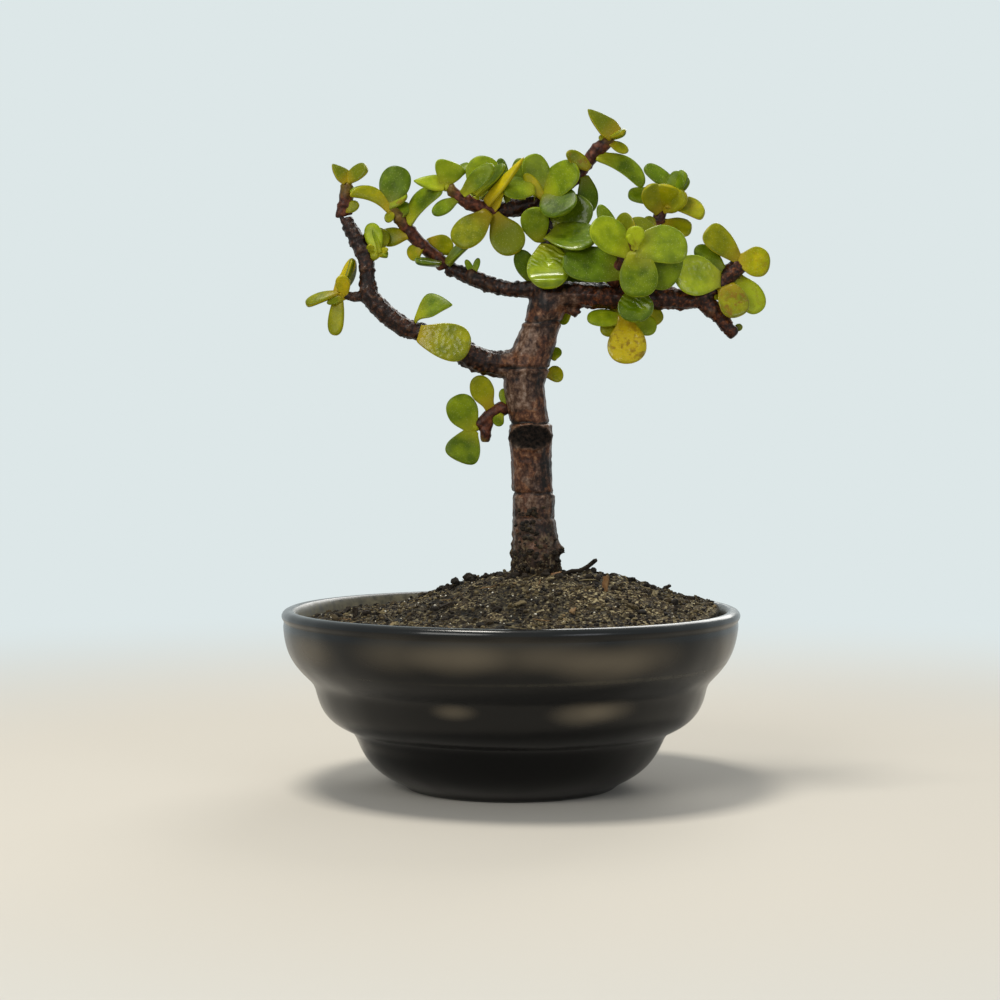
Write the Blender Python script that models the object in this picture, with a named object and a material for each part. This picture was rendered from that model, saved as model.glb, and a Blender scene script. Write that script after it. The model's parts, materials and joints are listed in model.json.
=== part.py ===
"""Dwarf jade (elephant bush) bonsai in a small glazed bowl.

Metres, +Z up.  The origin is the middle of the pot's flat foot, on the surface it stands on.
The plant's front, the side it is meant to be seen from, looks along -Y.
Every size below is in millimetres and is turned into metres where a mesh is finished.
"""
import math

import bmesh
import bpy
from mathutils import Matrix, Vector, noise

for old in list(bpy.data.objects):
    bpy.data.objects.remove(old, do_unlink=True)

MM = 0.001
GAP = 0.3                 # clearance between pieces that touch

# Pot: a bowl of three bulging tiers with a rolled lip
RIM_RADIUS = 55.0
POT_HEIGHT = 43.0
FOOT_RADIUS = 25.2
FOOT_EDGE = (26.2, 1.2)         # radius and height of the foot's rounded edge
LOWER_CREASE = (37.6, 13.6)     # radius and height of the valley between the lower tiers
UPPER_CREASE = (47.2, 25.2)     # the same between the upper tiers
LIP_START = (54.8, 40.0)        # the same where the rolled lip begins
LOWER_BULGE = 2.1               # how far each tier stands out from its straight chord
MIDDLE_BULGE = 2.6
UPPER_BULGE = 1.9
WALL = 4.4
FLOOR = 5.0
LIP = [(0.0, 1.9), (0.7, 0.6), (2.1, 0.0), (3.5, 0.8)]  # in from the rim, down from the top
INNER_FOOT = 22.2               # radius of the flat part of the floor
INNER_BULGE = 6.0
INNER_LIP_DROP = 4.5            # the inner wall ends this far below the top of the lip
POT_SIDES = 44
TIER_STEPS = 4
INNER_STEPS = 6
DRAIN_RADIUS = 2.5
DRAIN_CIRCLE = 11.0
DRAIN_COUNT = 3
DRAIN_SIDES = 16

# Drainage mesh: a plastic disc of square holes on the pot's floor
MESH_RADIUS = 17.0
MESH_THICKNESS = 1.0
MESH_HOLE = 2.4
MESH_PITCH = 6.0
MESH_ROWS = 2                   # rows of holes on each side of the middle
MESH_SIDES = 32

# Soil: level near the wall, heaped up at the trunk
SOIL_LEVEL = 40.6
SOIL_TILT = 0.014               # rise towards +X
MOUND_HEIGHT = 10.6
MOUND_CENTRE = (6.0, 1.0)
MOUND_LEFT = 30.0
MOUND_RIGHT = 37.0
MOUND_DEPTH = 28.0
MOUND_SHOULDER = 1.35           # above 1 the heap has a flatter top and steeper sides
SOIL_LUMP = 0.7                 # height of the uneven surface's bumps, and their size across
SOIL_LUMP_SIZE = 7.0
SOIL_INSET = 0.7                # keeps the soil off the sloping wall by the clearance
SOIL_RINGS = 5

# Plant
LEAF_THICKNESS = 2.0
LEAF_FOOT = 0.52                # a leaf's outline at its base, as a share of a full oval's
LEAF_WIDEST = 0.62              # and the share of its length where it reaches that oval
LEAF_SIDES = 8
LEAF_RINGS = 7
WOOD_SIDES = 8
TRUNK_SIDES = 12
TWIG_SIDES = 8
ROOT_SIDES = 6
LITTER_SIDES = 6
BUD_SIDES = 6
BUD_RINGS = 4
PATH_STEPS = 2                  # samples between two chosen points of a limb
ROOT_CLEARANCE = 0.36           # around the slanting roots, a little more than the gap
SHARP_ANGLE = math.radians(50)  # edges folded further than this stay crisp

GLAZE = ((0.012, 0.012, 0.013), 0.22)
PLASTIC = ((0.03, 0.05, 0.035), 0.5)
SOIL = ((0.07, 0.055, 0.04), 0.95)
BARK = ((0.10, 0.065, 0.045), 0.75)
YOUNG_STEM = ((0.19, 0.045, 0.03), 0.45)
LEAF_GREEN = ((0.16, 0.26, 0.03), 0.35)
LEAF_YELLOW = ((0.36, 0.33, 0.03), 0.35)
LEAF_DARK = ((0.07, 0.15, 0.02), 0.35)
DRY_WOOD = ((0.20, 0.15, 0.10), 0.85)


# ---------------------------------------------------------------- general helpers

def material(name, finish):
    """A plain finish: linear colour and roughness."""
    colour, roughness = finish
    mat = bpy.data.materials.new(name)
    mat.use_nodes = True
    shader = mat.node_tree.nodes["Principled BSDF"]
    shader.inputs["Base Color"].default_value = (*colour, 1.0)
    shader.inputs["Roughness"].default_value = roughness
    shader.inputs["Metallic"].default_value = 0.0
    mat.diffuse_color = (*colour, 1.0)
    return mat


def add_object(name, mesh, finish=None):
    obj = bpy.data.objects.new(name, mesh)
    bpy.context.scene.collection.objects.link(obj)
    if finish is not None:
        mesh.materials.clear()
        mesh.materials.append(material(name, finish))
    return obj


def mesh_from(bm, name):
    """Turn a millimetre bmesh into a mesh in metres."""
    bmesh.ops.scale(bm, vec=(MM, MM, MM), verts=bm.verts)
    bmesh.ops.recalc_face_normals(bm, faces=bm.faces)
    mesh = bpy.data.meshes.new(name)
    bm.to_mesh(mesh)
    bm.free()
    return mesh


def combine(name, objects, finish, operation="UNION"):
    """Add the other objects to the first, or cut them from it, and keep one named object."""
    body = objects[0]
    for other in objects[1:]:
        step = body.modifiers.new(other.name, "BOOLEAN")
        step.operation = operation
        step.solver = "EXACT"
        step.object = other
    bpy.context.view_layer.update()
    graph = bpy.context.evaluated_depsgraph_get()
    mesh = bpy.data.meshes.new_from_object(body.evaluated_get(graph))
    for obj in objects:
        bpy.data.objects.remove(obj, do_unlink=True)
    result = add_object(name, mesh, finish)
    mesh.shade_smooth()
    mesh.set_sharp_from_angle(angle=SHARP_ANGLE)
    return result


def turned(profile, sides):
    """A solid turned about Z from (radius, height) points; the first and last lie on the axis."""
    bm = bmesh.new()
    verts = [bm.verts.new((radius, 0.0, height)) for radius, height in profile]
    edges = [bm.edges.new(pair) for pair in zip(verts, verts[1:])]
    bmesh.ops.spin(bm, geom=verts + edges, cent=(0, 0, 0), axis=(0, 0, 1),
                   angle=math.tau, steps=sides, use_merge=True)
    bmesh.ops.remove_doubles(bm, verts=bm.verts, dist=0.001)
    return bm


def arc(start, end, bulge, steps):
    """Points from start to end along a circular arc that stands out by bulge in the middle."""
    start, end = Vector(start), Vector(end)
    chord = end - start
    outward = Vector((chord.y, -chord.x)).normalized()
    points = []
    for i in range(steps + 1):
        s = i / steps
        points.append(start + chord * s + outward * bulge * math.sin(math.pi * s))
    return [tuple(p) for p in points]


def smooth_path(points, steps=PATH_STEPS):
    """A Catmull-Rom curve through (x, y, z, radius) points."""
    pts = [Vector(p) for p in points]
    pts = [2 * pts[0] - pts[1]] + pts + [2 * pts[-1] - pts[-2]]
    samples = []
    for a, b, c, d in zip(pts, pts[1:], pts[2:], pts[3:]):
        for i in range(steps):
            t = i / steps
            samples.append(0.5 * (2 * b + (c - a) * t + (2 * a - 5 * b + 4 * c - d) * t * t
                                  + (3 * b - a - 3 * c + d) * t ** 3))
    samples.append(pts[-2])
    return samples


def limb(name, points, sides=TWIG_SIDES, finish=None, grow=0.0, steps=PATH_STEPS):
    """A round tapering limb along a smooth path, with closed ends, swollen by grow."""
    samples = smooth_path(points, steps)
    for end, inner in ((0, 1), (-1, -2)):
        outward = (samples[end] - samples[inner]).to_3d().normalized()
        samples[end] = samples[end] + Vector((*outward * grow, 0.0))
    bm = bmesh.new()
    previous = None
    side = Vector((0, 1, 0))
    for i, sample in enumerate(samples):
        ahead = samples[min(i + 1, len(samples) - 1)]
        behind = samples[max(i - 1, 0)]
        tangent = (ahead - behind).to_3d().normalized()
        side = (side - tangent * side.dot(tangent)).normalized()
        frame = Matrix((side, tangent.cross(side), tangent)).transposed().to_4x4()
        frame.translation = sample.to_3d()
        ring = bmesh.ops.create_circle(bm, segments=sides, radius=sample.w + grow,
                                       cap_ends=(i in (0, len(samples) - 1)), matrix=frame)["verts"]
        edges = list({e for v in ring for e in v.link_edges if e.other_vert(v) in ring})
        if previous is not None:
            bmesh.ops.bridge_loops(bm, edges=previous + edges)
        previous = edges
    return add_object(name, mesh_from(bm, name), finish)


# ---------------------------------------------------------------- pot, mesh and soil

def inner_wall():
    """(radius, height) points of the pot's inside, from its floor to the foot of the lip."""
    top = (RIM_RADIUS - WALL, POT_HEIGHT - INNER_LIP_DROP)
    return arc((INNER_FOOT, FLOOR), top, INNER_BULGE, INNER_STEPS)


def pot():
    lower = arc(FOOT_EDGE, LOWER_CREASE, LOWER_BULGE, TIER_STEPS)
    middle = arc(LOWER_CREASE, UPPER_CREASE, MIDDLE_BULGE, TIER_STEPS)
    upper = arc(UPPER_CREASE, LIP_START, UPPER_BULGE, TIER_STEPS + 1)
    lip = [(RIM_RADIUS - back, POT_HEIGHT - drop) for back, drop in LIP]
    inside = inner_wall()[::-1]
    profile = [(0.0, 0.0), (FOOT_RADIUS, 0.0)] + lower + middle[1:] + upper[1:] + lip + inside
    profile.append((0.0, FLOOR))
    bowl = add_object("bowl", mesh_from(turned(profile, POT_SIDES), "bowl"))
    drains = []
    for i in range(DRAIN_COUNT):
        angle = math.tau * (i + 0.25) / DRAIN_COUNT
        bm = bmesh.new()
        spot = Matrix.Translation((DRAIN_CIRCLE * math.cos(angle), DRAIN_CIRCLE * math.sin(angle),
                                   FLOOR / 2))
        bmesh.ops.create_cone(bm, cap_ends=True, segments=DRAIN_SIDES, radius1=DRAIN_RADIUS,
                              radius2=DRAIN_RADIUS, depth=FLOOR * 2, matrix=spot)
        drains.append(add_object(f"drain_{i}", mesh_from(bm, "drain")))
    return combine("pot", [bowl] + drains, GLAZE, "DIFFERENCE")


def drainage_mesh():
    bm = bmesh.new()
    seat = Matrix.Translation((0, 0, FLOOR + GAP + MESH_THICKNESS / 2))
    bmesh.ops.create_cone(bm, cap_ends=True, segments=MESH_SIDES, radius1=MESH_RADIUS,
                          radius2=MESH_RADIUS, depth=MESH_THICKNESS, matrix=seat)
    disc = add_object("mesh_disc", mesh_from(bm, "mesh_disc"))
    holes = []
    for row in range(-MESH_ROWS, MESH_ROWS + 1):
        for column in range(-MESH_ROWS, MESH_ROWS + 1):
            centre = Vector((column * MESH_PITCH, row * MESH_PITCH, seat.translation.z))
            if centre.xy.length > MESH_RADIUS - MESH_PITCH / 2:
                continue
            bm = bmesh.new()
            size = Matrix.Diagonal((MESH_HOLE, MESH_HOLE, MESH_THICKNESS * 3, 1.0))
            bmesh.ops.create_cube(bm, size=1.0, matrix=Matrix.Translation(centre) @ size)
            holes.append(add_object("mesh_hole", mesh_from(bm, "mesh_hole")))
    return combine("drainage_mesh", [disc] + holes, PLASTIC, "DIFFERENCE")


def soil_height(x, y):
    """Height of the soil at a place in the bowl."""
    dx, dy = x - MOUND_CENTRE[0], y - MOUND_CENTRE[1]
    spread = MOUND_RIGHT if dx > 0 else MOUND_LEFT
    away = (dx / spread) ** 2 + (dy / MOUND_DEPTH) ** 2
    mound = math.exp(-away ** MOUND_SHOULDER)
    lump = noise.noise(Vector((x, y, POT_HEIGHT)) / SOIL_LUMP_SIZE) * SOIL_LUMP * (0.5 + mound)
    return SOIL_LEVEL + SOIL_TILT * x + MOUND_HEIGHT * mound + lump


def soil(roots):
    (foot_radius, foot), (next_radius, step) = inner_wall()[:2]
    bottom = FLOOR + MESH_THICKNESS + 2 * GAP
    bottom_radius = foot_radius + (next_radius - foot_radius) * (bottom - foot) / (step - foot)
    wall = [(bottom_radius, bottom)] + inner_wall()[1:]
    wall = [(radius - SOIL_INSET, height) for radius, height in wall]
    edge = RIM_RADIUS - WALL - SOIL_INSET
    top = [(edge * (1 - i / SOIL_RINGS), SOIL_LEVEL) for i in range(SOIL_RINGS + 1)]
    bm = turned([(0.0, bottom)] + wall + top, POT_SIDES)
    for vert in bm.verts:
        if vert.co.z >= SOIL_LEVEL - 0.01:
            vert.co.z = soil_height(vert.co.x, vert.co.y)
    body = add_object("soil_body", mesh_from(bm, "soil_body"))
    return combine("soil", [body] + roots, SOIL, "DIFFERENCE")


# ---------------------------------------------------------------- wood

# Each limb is a list of (x, y, z, radius) places along its middle
TRUNK = [(6.3, 0, 44, 6.7), (6.2, 0, 50, 6.0), (5.9, 0, 56, 5.7), (5.8, 0, 60, 5.4),
         (5.4, 0, 64.5, 5.05), (5.4, 0, 69, 5.1), (5.5, 0, 70.3, 4.8), (5.1, 0, 72, 4.9),
         (4.9, 0, 78, 4.95), (4.7, 0, 85.5, 5.15), (4.5, 0, 87.3, 4.6), (3.8, 0, 91, 4.75),
         (3.1, 0, 96, 5.0), (3.6, 0, 99.3, 5.2), (4.7, 0, 103, 5.0), (6.6, 0, 108, 4.55),
         (7.6, 0, 111.3, 4.25), (8.5, 0, 114.5, 4.6), (9.3, 0, 118, 4.5), (9.6, 0.3, 120, 3.3)]
ROOTS = [[(7, -1, 46, 4.4), (14, -7, 41, 2.8), (24, -15, 33, 1.6), (29, -19, 26, 0.8)],
         [(6, 1, 46, 4.4), (3, 9, 41, 2.8), (-3, 20, 33, 1.6), (-8, 26, 26, 0.8)],
         [(5, -1, 46, 4.4), (-3, -6, 41, 2.8), (-15, -13, 33, 1.6), (-21, -16, 26, 0.8)],
         [(7, 1, 46, 4.4), (15, 6, 40, 2.6), (21, 13, 31, 1.5), (24, 17, 24, 0.8)],
         [(6, 0, 45, 5.0), (5, 1, 38, 3.4), (2, 2, 29, 1.9), (1, 2, 22, 0.8)]]
LOWER_LEFT = [(3.5, 0, 101, 3.6), (-1, -0.2, 101.3, 3.5), (-5, -0.6, 101.4, 3.1),
              (-9.5, -1, 103, 3.1), (-15, -1.5, 106, 2.6), (-21.5, -2, 108.8, 2.3),
              (-25.5, -2, 110, 2.4), (-30, -1.5, 113.4, 2.5), (-33.5, -1, 117.3, 2.3),
              (-34.2, -0.5, 121, 2.0), (-34.4, 0, 125, 2.0), (-35.4, 0.8, 128, 2.0),
              (-37.1, 1.6, 131.4, 2.0), (-38.6, 2.3, 134.2, 1.7), (-39.3, 2.8, 136.2, 1.4)]
UPPER_LEFT = [(8, 0.3, 118.8, 2.6), (4, 0.5, 119, 2.1), (0, 1, 119.1, 1.9), (-5, 2, 120.2, 2.0),
              (-10, 3.3, 122.4, 1.9), (-14, 4.5, 123.9, 1.7), (-15.5, 5, 124.5, 1.5)]
LEADER = [(9.3, 0.5, 117, 3.2), (9.6, 2, 124, 2.6), (9.6, 3, 131, 2.3), (8.6, 3.5, 137, 2.2),
          (8.0, 4, 140.0, 2.1), (9.7, 4, 142.0, 1.6)]
CROSS = [(8.3, 3.6, 138, 2.1), (5, 3.8, 139.4, 2.3), (0, 3, 138.4, 2.25), (-3.2, 2.4, 137.7, 1.7)]
RIGHT = [(9, 0, 117.3, 3.6), (14, -1.5, 117.6, 3.2), (21, -3, 117.4, 3.1), (28, -3, 116.9, 3.0),
         (36, -2, 117, 2.9), (43, -1, 116.6, 2.5), (47, 0, 117.8, 2.2), (50, 0.5, 120.3, 1.9),
         (52.5, 1, 123, 1.9), (54.3, 1, 124.4, 1.4)]
SPURS = [[(45.5, -0.5, 116.2, 2.0), (48.5, -0.5, 113.8, 1.9), (51, -0.5, 110.8, 1.7),
          (53.2, -0.5, 108.2, 1.2)],
         [(13.2, -1, 115.5, 1.8), (14.8, -1.3, 113.8, 1.3), (16, -1.5, 112.9, 1.0)],
         [(27, -3, 115.5, 1.6), (27.3, -3.8, 112.2, 1.1)],
         [(-34, -0.9, 117.9, 1.4), (-37.5, 0, 117.1, 1.1), (-39.6, 0.8, 117.7, 0.9)],
         [(-39.4, 2.4, 134.6, 1.0), (-41.8, 2.0, 138, 0.35)],
         [(9.5, -0.5, 58.5, 2.0), (12.2, -0.8, 56.2, 1.1)]]


def trunk():
    pieces = [limb("trunk_stem", TRUNK, TRUNK_SIDES, steps=1)]
    for i, points in enumerate([LOWER_LEFT, UPPER_LEFT, LEADER, CROSS, RIGHT]):
        pieces.append(limb(f"branch_{i}", points, WOOD_SIDES))
    for i, points in enumerate(SPURS):
        pieces.append(limb(f"spur_{i}", points, TWIG_SIDES))
    for i, points in enumerate(ROOTS):
        pieces.append(limb(f"root_{i}", points, ROOT_SIDES))
    return combine("trunk", pieces, BARK)


def root_pockets():
    """The trunk's foot and roots swollen by the clearance, to cut their bed in the soil."""
    pockets = [limb("pocket_stem", TRUNK[:4], TRUNK_SIDES, grow=GAP, steps=1),
               limb("pocket_burl", SPURS[-1], TWIG_SIDES, grow=GAP)]
    for i, points in enumerate(ROOTS):
        pockets.append(limb(f"pocket_{i}", points, ROOT_SIDES, grow=ROOT_CLEARANCE))
    return pockets


# Young shoots: the green-red stems that carry most of the leaves
SHOOTS = {
    "shoot_far_left": [(-39.4, 3.2, 137.3, 1.3), (-39.6, 3, 139.3, 1.3), (-39.3, 3, 141.6, 1.6),
                       (-39.2, 3, 144.6, 0.9)],
    "shoot_upper_left": [(-16.4, 5.2, 125.2, 1.4), (-18.5, 4.6, 127.3, 1.4), (-21.2, 4, 129.6, 1.3),
                         (-23.6, 3.5, 132.1, 1.4), (-26, 3, 135.3, 1.3), (-28.6, 2.5, 138.4, 1.0)],
    "shoot_crown_left": [(-4.3, 2.3, 137.8, 1.5), (-6.5, 1.8, 138.4, 1.5), (-9.5, 1.2, 139.5, 1.5),
                         (-12.6, 1, 141.2, 1.2), (-14.8, 1, 143.4, 0.9)],
    "shoot_apex": [(10.1, 4, 142.4, 1.5), (12.5, 4, 143.6, 1.5), (15.5, 3.5, 145.9, 1.4),
                   (18.2, 3, 149.3, 1.3), (20.6, 2.5, 152.2, 1.5), (24, 2, 155, 1.2)],
    "shoot_right": [(34.2, -1.1, 120.2, 1.4), (34.5, 2, 127, 1.4), (35, 3, 134, 1.3),
                    (36.2, 3, 138.5, 1.2), (38.3, 3, 142.4, 0.9)],
    "shoot_rosette": [(23.6, -4.6, 121, 1.5), (25.6, -6.5, 124, 1.4), (28.2, -8.6, 127.6, 1.5),
                      (29, -9.8, 130, 1.1)],
    "shoot_low_left": [(-2.0, 0.6, 90.6, 1.5), (-4.4, 0.8, 89.4, 1.5), (-6.4, 1, 87.6, 1.3),
                       (-8.0, 1.4, 86.1, 0.9)],
}
SHOOT_STUB = [(-5.2, 0.9, 88, 1.2), (-6, 1, 85.5, 1.1), (-6.1, 1, 82.8, 0.9)]


def shoots():
    for name, points in SHOOTS.items():
        if name == "shoot_low_left":
            pieces = [limb("shoot_stem", points), limb("shoot_stub", SHOOT_STUB)]
            combine(name, pieces, YOUNG_STEM)
            continue
        limb(name, points, finish=YOUNG_STEM).data.shade_smooth()


# ---------------------------------------------------------------- leaves

def blade(base, tip, width, face, arch=0.0, cup=0.0):
    """A fleshy obovate blade: a ball drawn out from its narrow base to its round tip.

    face is the side its upper surface looks to, arch lifts its middle by a share of its length,
    and cup lifts its edges by a share of its width."""
    base, tip = Vector(base), Vector(tip)
    length = (tip - base).length
    along = (tip - base).normalized()
    up = Vector(face) - along * along.dot(Vector(face))
    up.normalize()
    side = along.cross(up)
    bm = bmesh.new()
    bmesh.ops.create_uvsphere(bm, u_segments=LEAF_SIDES, v_segments=LEAF_RINGS, radius=1.0)
    for vert in bm.verts:
        s = (vert.co.z + 1) / 2
        slim = LEAF_FOOT + (1 - LEAF_FOOT) * math.sin(min(s / LEAF_WIDEST, 1.0) * math.pi / 2)
        across = vert.co.x * width / 2 * slim
        lift = vert.co.y * LEAF_THICKNESS / 2
        lift += arch * length * 4 * s * (1 - s) + cup * abs(vert.co.x) ** 2 * width
        vert.co = base + along * length * s + side * across + up * lift
    return bm


def bud(centre, radius):
    bm = bmesh.new()
    bmesh.ops.create_uvsphere(bm, u_segments=BUD_SIDES, v_segments=BUD_RINGS, radius=radius,
                              matrix=Matrix.Translation(centre))
    return bm


def leaf(name, finish, base, tip, width, face, arch, cup):
    bm = blade(base, tip, width, face, arch, cup)
    obj = add_object(name, mesh_from(bm, name), finish)
    obj.data.shade_smooth()


def leaf_cluster(name, finish, centre, radius, blades):
    """Leaves that grow together from one bud."""
    pieces = [add_object("bud", mesh_from(bud(centre, radius), "bud"))]
    for tip, width, face, *shape in blades:
        bm = blade(centre, tip, width, face, *shape)
        pieces.append(add_object("blade", mesh_from(bm, "blade")))
    combine(name, pieces, finish)


# One leaf a row: name, finish, base, tip, width, upper side, arch, cup
LEAVES = [
    # on the lower left branch
    ("leaf_branch_kite", LEAF_GREEN, (-22.4, -3.2, 112.2), (-13.8, -4.5, 115.2), 7.0,
     (-0.2, -1, 0.5), 0.0, 0.05),
    ("leaf_branch_wet", LEAF_YELLOW, (-21.8, -5.0, 108.2), (-9.6, -7.0, 105.0), 9.4,
     (0.1, -1, 0.2), 0.02, 0.0),
    # on the upper left shoot
    ("leaf_upper_left_long", LEAF_GREEN, (-24.2, 2.2, 135.4), (-17.0, 0.5, 142.6), 5.4,
     (-0.5, -1, 0.5), 0.05, 0.0),
    ("leaf_upper_left_round", LEAF_YELLOW, (-19.4, 6.7, 130.9), (-15.3, 7.8, 129.6), 5.6,
     (0, -1, 0.6), 0.0, 0.0),
    ("leaf_upper_left_dark", LEAF_DARK, (-17.2, 2.9, 125.3), (-22.0, -1.0, 125.7), 6.2,
     (0, -0.3, 1), 0.0, 0.05),
    ("leaf_upper_left_rising", LEAF_DARK, (-14.3, 2.6, 125.9), (-10.3, 1.5, 130.7), 4.2,
     (-0.9, -0.6, 0.5), 0.0, 0.0),
    # on the crown's left shoot
    ("leaf_crown_yellow", LEAF_YELLOW, (-5.4, -0.3, 139.8), (2.0, -3.0, 148.7), 5.0,
     (-0.7, -0.8, 0.6), 0.0, 0.0),
    ("leaf_crown_hanging", LEAF_YELLOW, (-3.6, 0.9, 136.0), (1.3, -2.5, 127.4), 7.9,
     (0, -1, 0.0), 0.0, 0.0),
    ("leaf_crown_olive", LEAF_YELLOW, (-9.6, -0.9, 138.6), (-12.3, -2.5, 129.9), 6.4,
     (-0.3, -1, 0.0), 0.0, 0.04),
    ("leaf_crown_side", LEAF_GREEN, (6.0, 0.6, 142.6), (-1.8, -0.6, 143.0), 5.2,
     (0, -1, 0.4), 0.0, 0.0),
    # on the leader
    ("leaf_centre_round", LEAF_GREEN, (6.7, 1.3, 130.7), (4.8, -1.7, 138.3), 6.6,
     (0, -1, -0.2), 0.0, 0.0),
    ("leaf_centre_wet", LEAF_GREEN, (12.4, 1.8, 131.5), (18.8, 0.5, 140.0), 7.4,
     (-0.2, -1, 0.3), 0.03, 0.0),
    ("leaf_centre_flat", LEAF_DARK, (11.6, -0.2, 129.8), (19.5, -6.0, 131.0), 6.6,
     (0, -0.6, 0.9), 0.03, 0.0),
    ("leaf_centre_front", LEAF_YELLOW, (8.9, 0.1, 129.8), (8.9, -7.4, 118.9), 10.4,
     (0, -1, 0.2), 0.05, 0.0),
    ("leaf_centre_behind", LEAF_DARK, (5.9, 2.0, 122.2), (3.0, 0.8, 128.4), 5.6,
     (-0.2, -1, 0.2), 0.0, 0.0),
    # on the apex shoot
    ("leaf_apex_under", LEAF_DARK, (10.2, 1.6, 142.0), (12.4, -4.6, 136.8), 8.8,
     (0, -1, 0.6), 0.0, 0.0),
    ("leaf_apex_hanging", LEAF_DARK, (17.6, 3.0, 145.8), (18.9, 4.4, 137.4), 5.6,
     (0.7, -1, 0), 0.0, 0.0),
    ("leaf_apex_edge", LEAF_YELLOW, (17.2, 1.4, 149.4), (13.2, -0.6, 151.6), 4.6,
     (0.6, -0.2, 0.8), 0.0, 0.0),
    ("leaf_apex_long", LEAF_GREEN, (21.3, 1.6, 150.4), (31.3, 0.5, 143.9), 5.6,
     (0.5, -0.6, 0.8), 0.12, 0.0),
    # on the right shoot
    ("leaf_right_back", LEAF_DARK, (35.7, 3.1, 140.8), (27.6, 3.0, 142.0), 4.8,
     (0, -1, 0.5), 0.0, 0.0),
    ("leaf_right_arch", LEAF_YELLOW, (37.6, 1.6, 139.4), (45.6, -0.5, 136.4), 5.2,
     (0.1, -0.7, 0.9), 0.14, 0.0),
    ("leaf_right_yellow", LEAF_YELLOW, (36.9, 2.6, 134.2), (43.2, 1.5, 133.3), 5.4,
     (0, -1, 0.6), 0.0, 0.0),
    # the front rosette
    ("leaf_rosette_left", LEAF_GREEN, (27.4, -10.2, 129.8), (19.0, -12.0, 132.4), 8.4,
     (0.1, -1, 0.7), 0.02, 0.0),
    ("leaf_rosette_right", LEAF_GREEN, (30.6, -10.6, 129.6), (41.0, -12.0, 127.4), 7.4,
     (0.1, -0.8, 1), 0.1, 0.0),
    ("leaf_rosette_low", LEAF_DARK, (30.4, -8.4, 126.8), (39.0, -8.0, 124.0), 6.0,
     (0, -0.7, 0.8), 0.05, 0.0),
    ("leaf_rosette_front", LEAF_GREEN, (28.8, -11.0, 127.2), (29.4, -13.0, 116.4), 9.6,
     (0, -1, 0.1), 0.0, 0.0),
    ("leaf_branch_front", LEAF_DARK, (29.3, -6.6, 118.6), (29.2, -9.4, 111.6), 8.4,
     (0, -1, 0.3), 0.0, 0.0),
    ("leaf_branch_rest", LEAF_DARK, (23.4, -6.6, 122.3), (13.2, -7.0, 124.6), 8.6,
     (0, -1, 0.5), 0.0, 0.0),
    # under the right branch
    ("leaf_under_big", LEAF_YELLOW, (27.2, -4.2, 111.2), (27.6, -7.5, 101.2), 9.8,
     (0, -1, 0.1), 0.0, 0.0),
    # at the right branch's end
    ("leaf_end_wet", LEAF_YELLOW, (49.7, -1.8, 121.2), (39.3, -5.8, 122.6), 9.4,
     (0, -1, 0.3), 0.03, 0.0),
    ("leaf_end_dark", LEAF_DARK, (50.4, 0.6, 123.6), (44.6, 0.4, 128.7), 4.6,
     (-0.2, -1, 0.4), 0.0, 0.0),
    ("leaf_end_pale", LEAF_GREEN, (54.2, 1.8, 121.8), (59.6, 1.4, 113.6), 7.6,
     (0.2, -1, 0.2), 0.0, 0.0),
    ("leaf_end_marked", LEAF_YELLOW, (51.2, -1.4, 119.4), (54.2, -3.0, 112.8), 6.4,
     (0.1, -1, 0.2), 0.0, 0.0),
    # low down on the trunk
    ("leaf_low_single", LEAF_YELLOW, (-5.3, 0.1, 91.4), (-8.3, -0.8, 98.4), 5.8,
     (0, -1, 0.2), 0.0, 0.0),
    ("leaf_trunk_right", LEAF_YELLOW, (8.4, 2.8, 98.8), (12.6, 4.2, 98.8), 4.6,
     (0, -1, 0.2), 0.0, 0.0),
]

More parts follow.
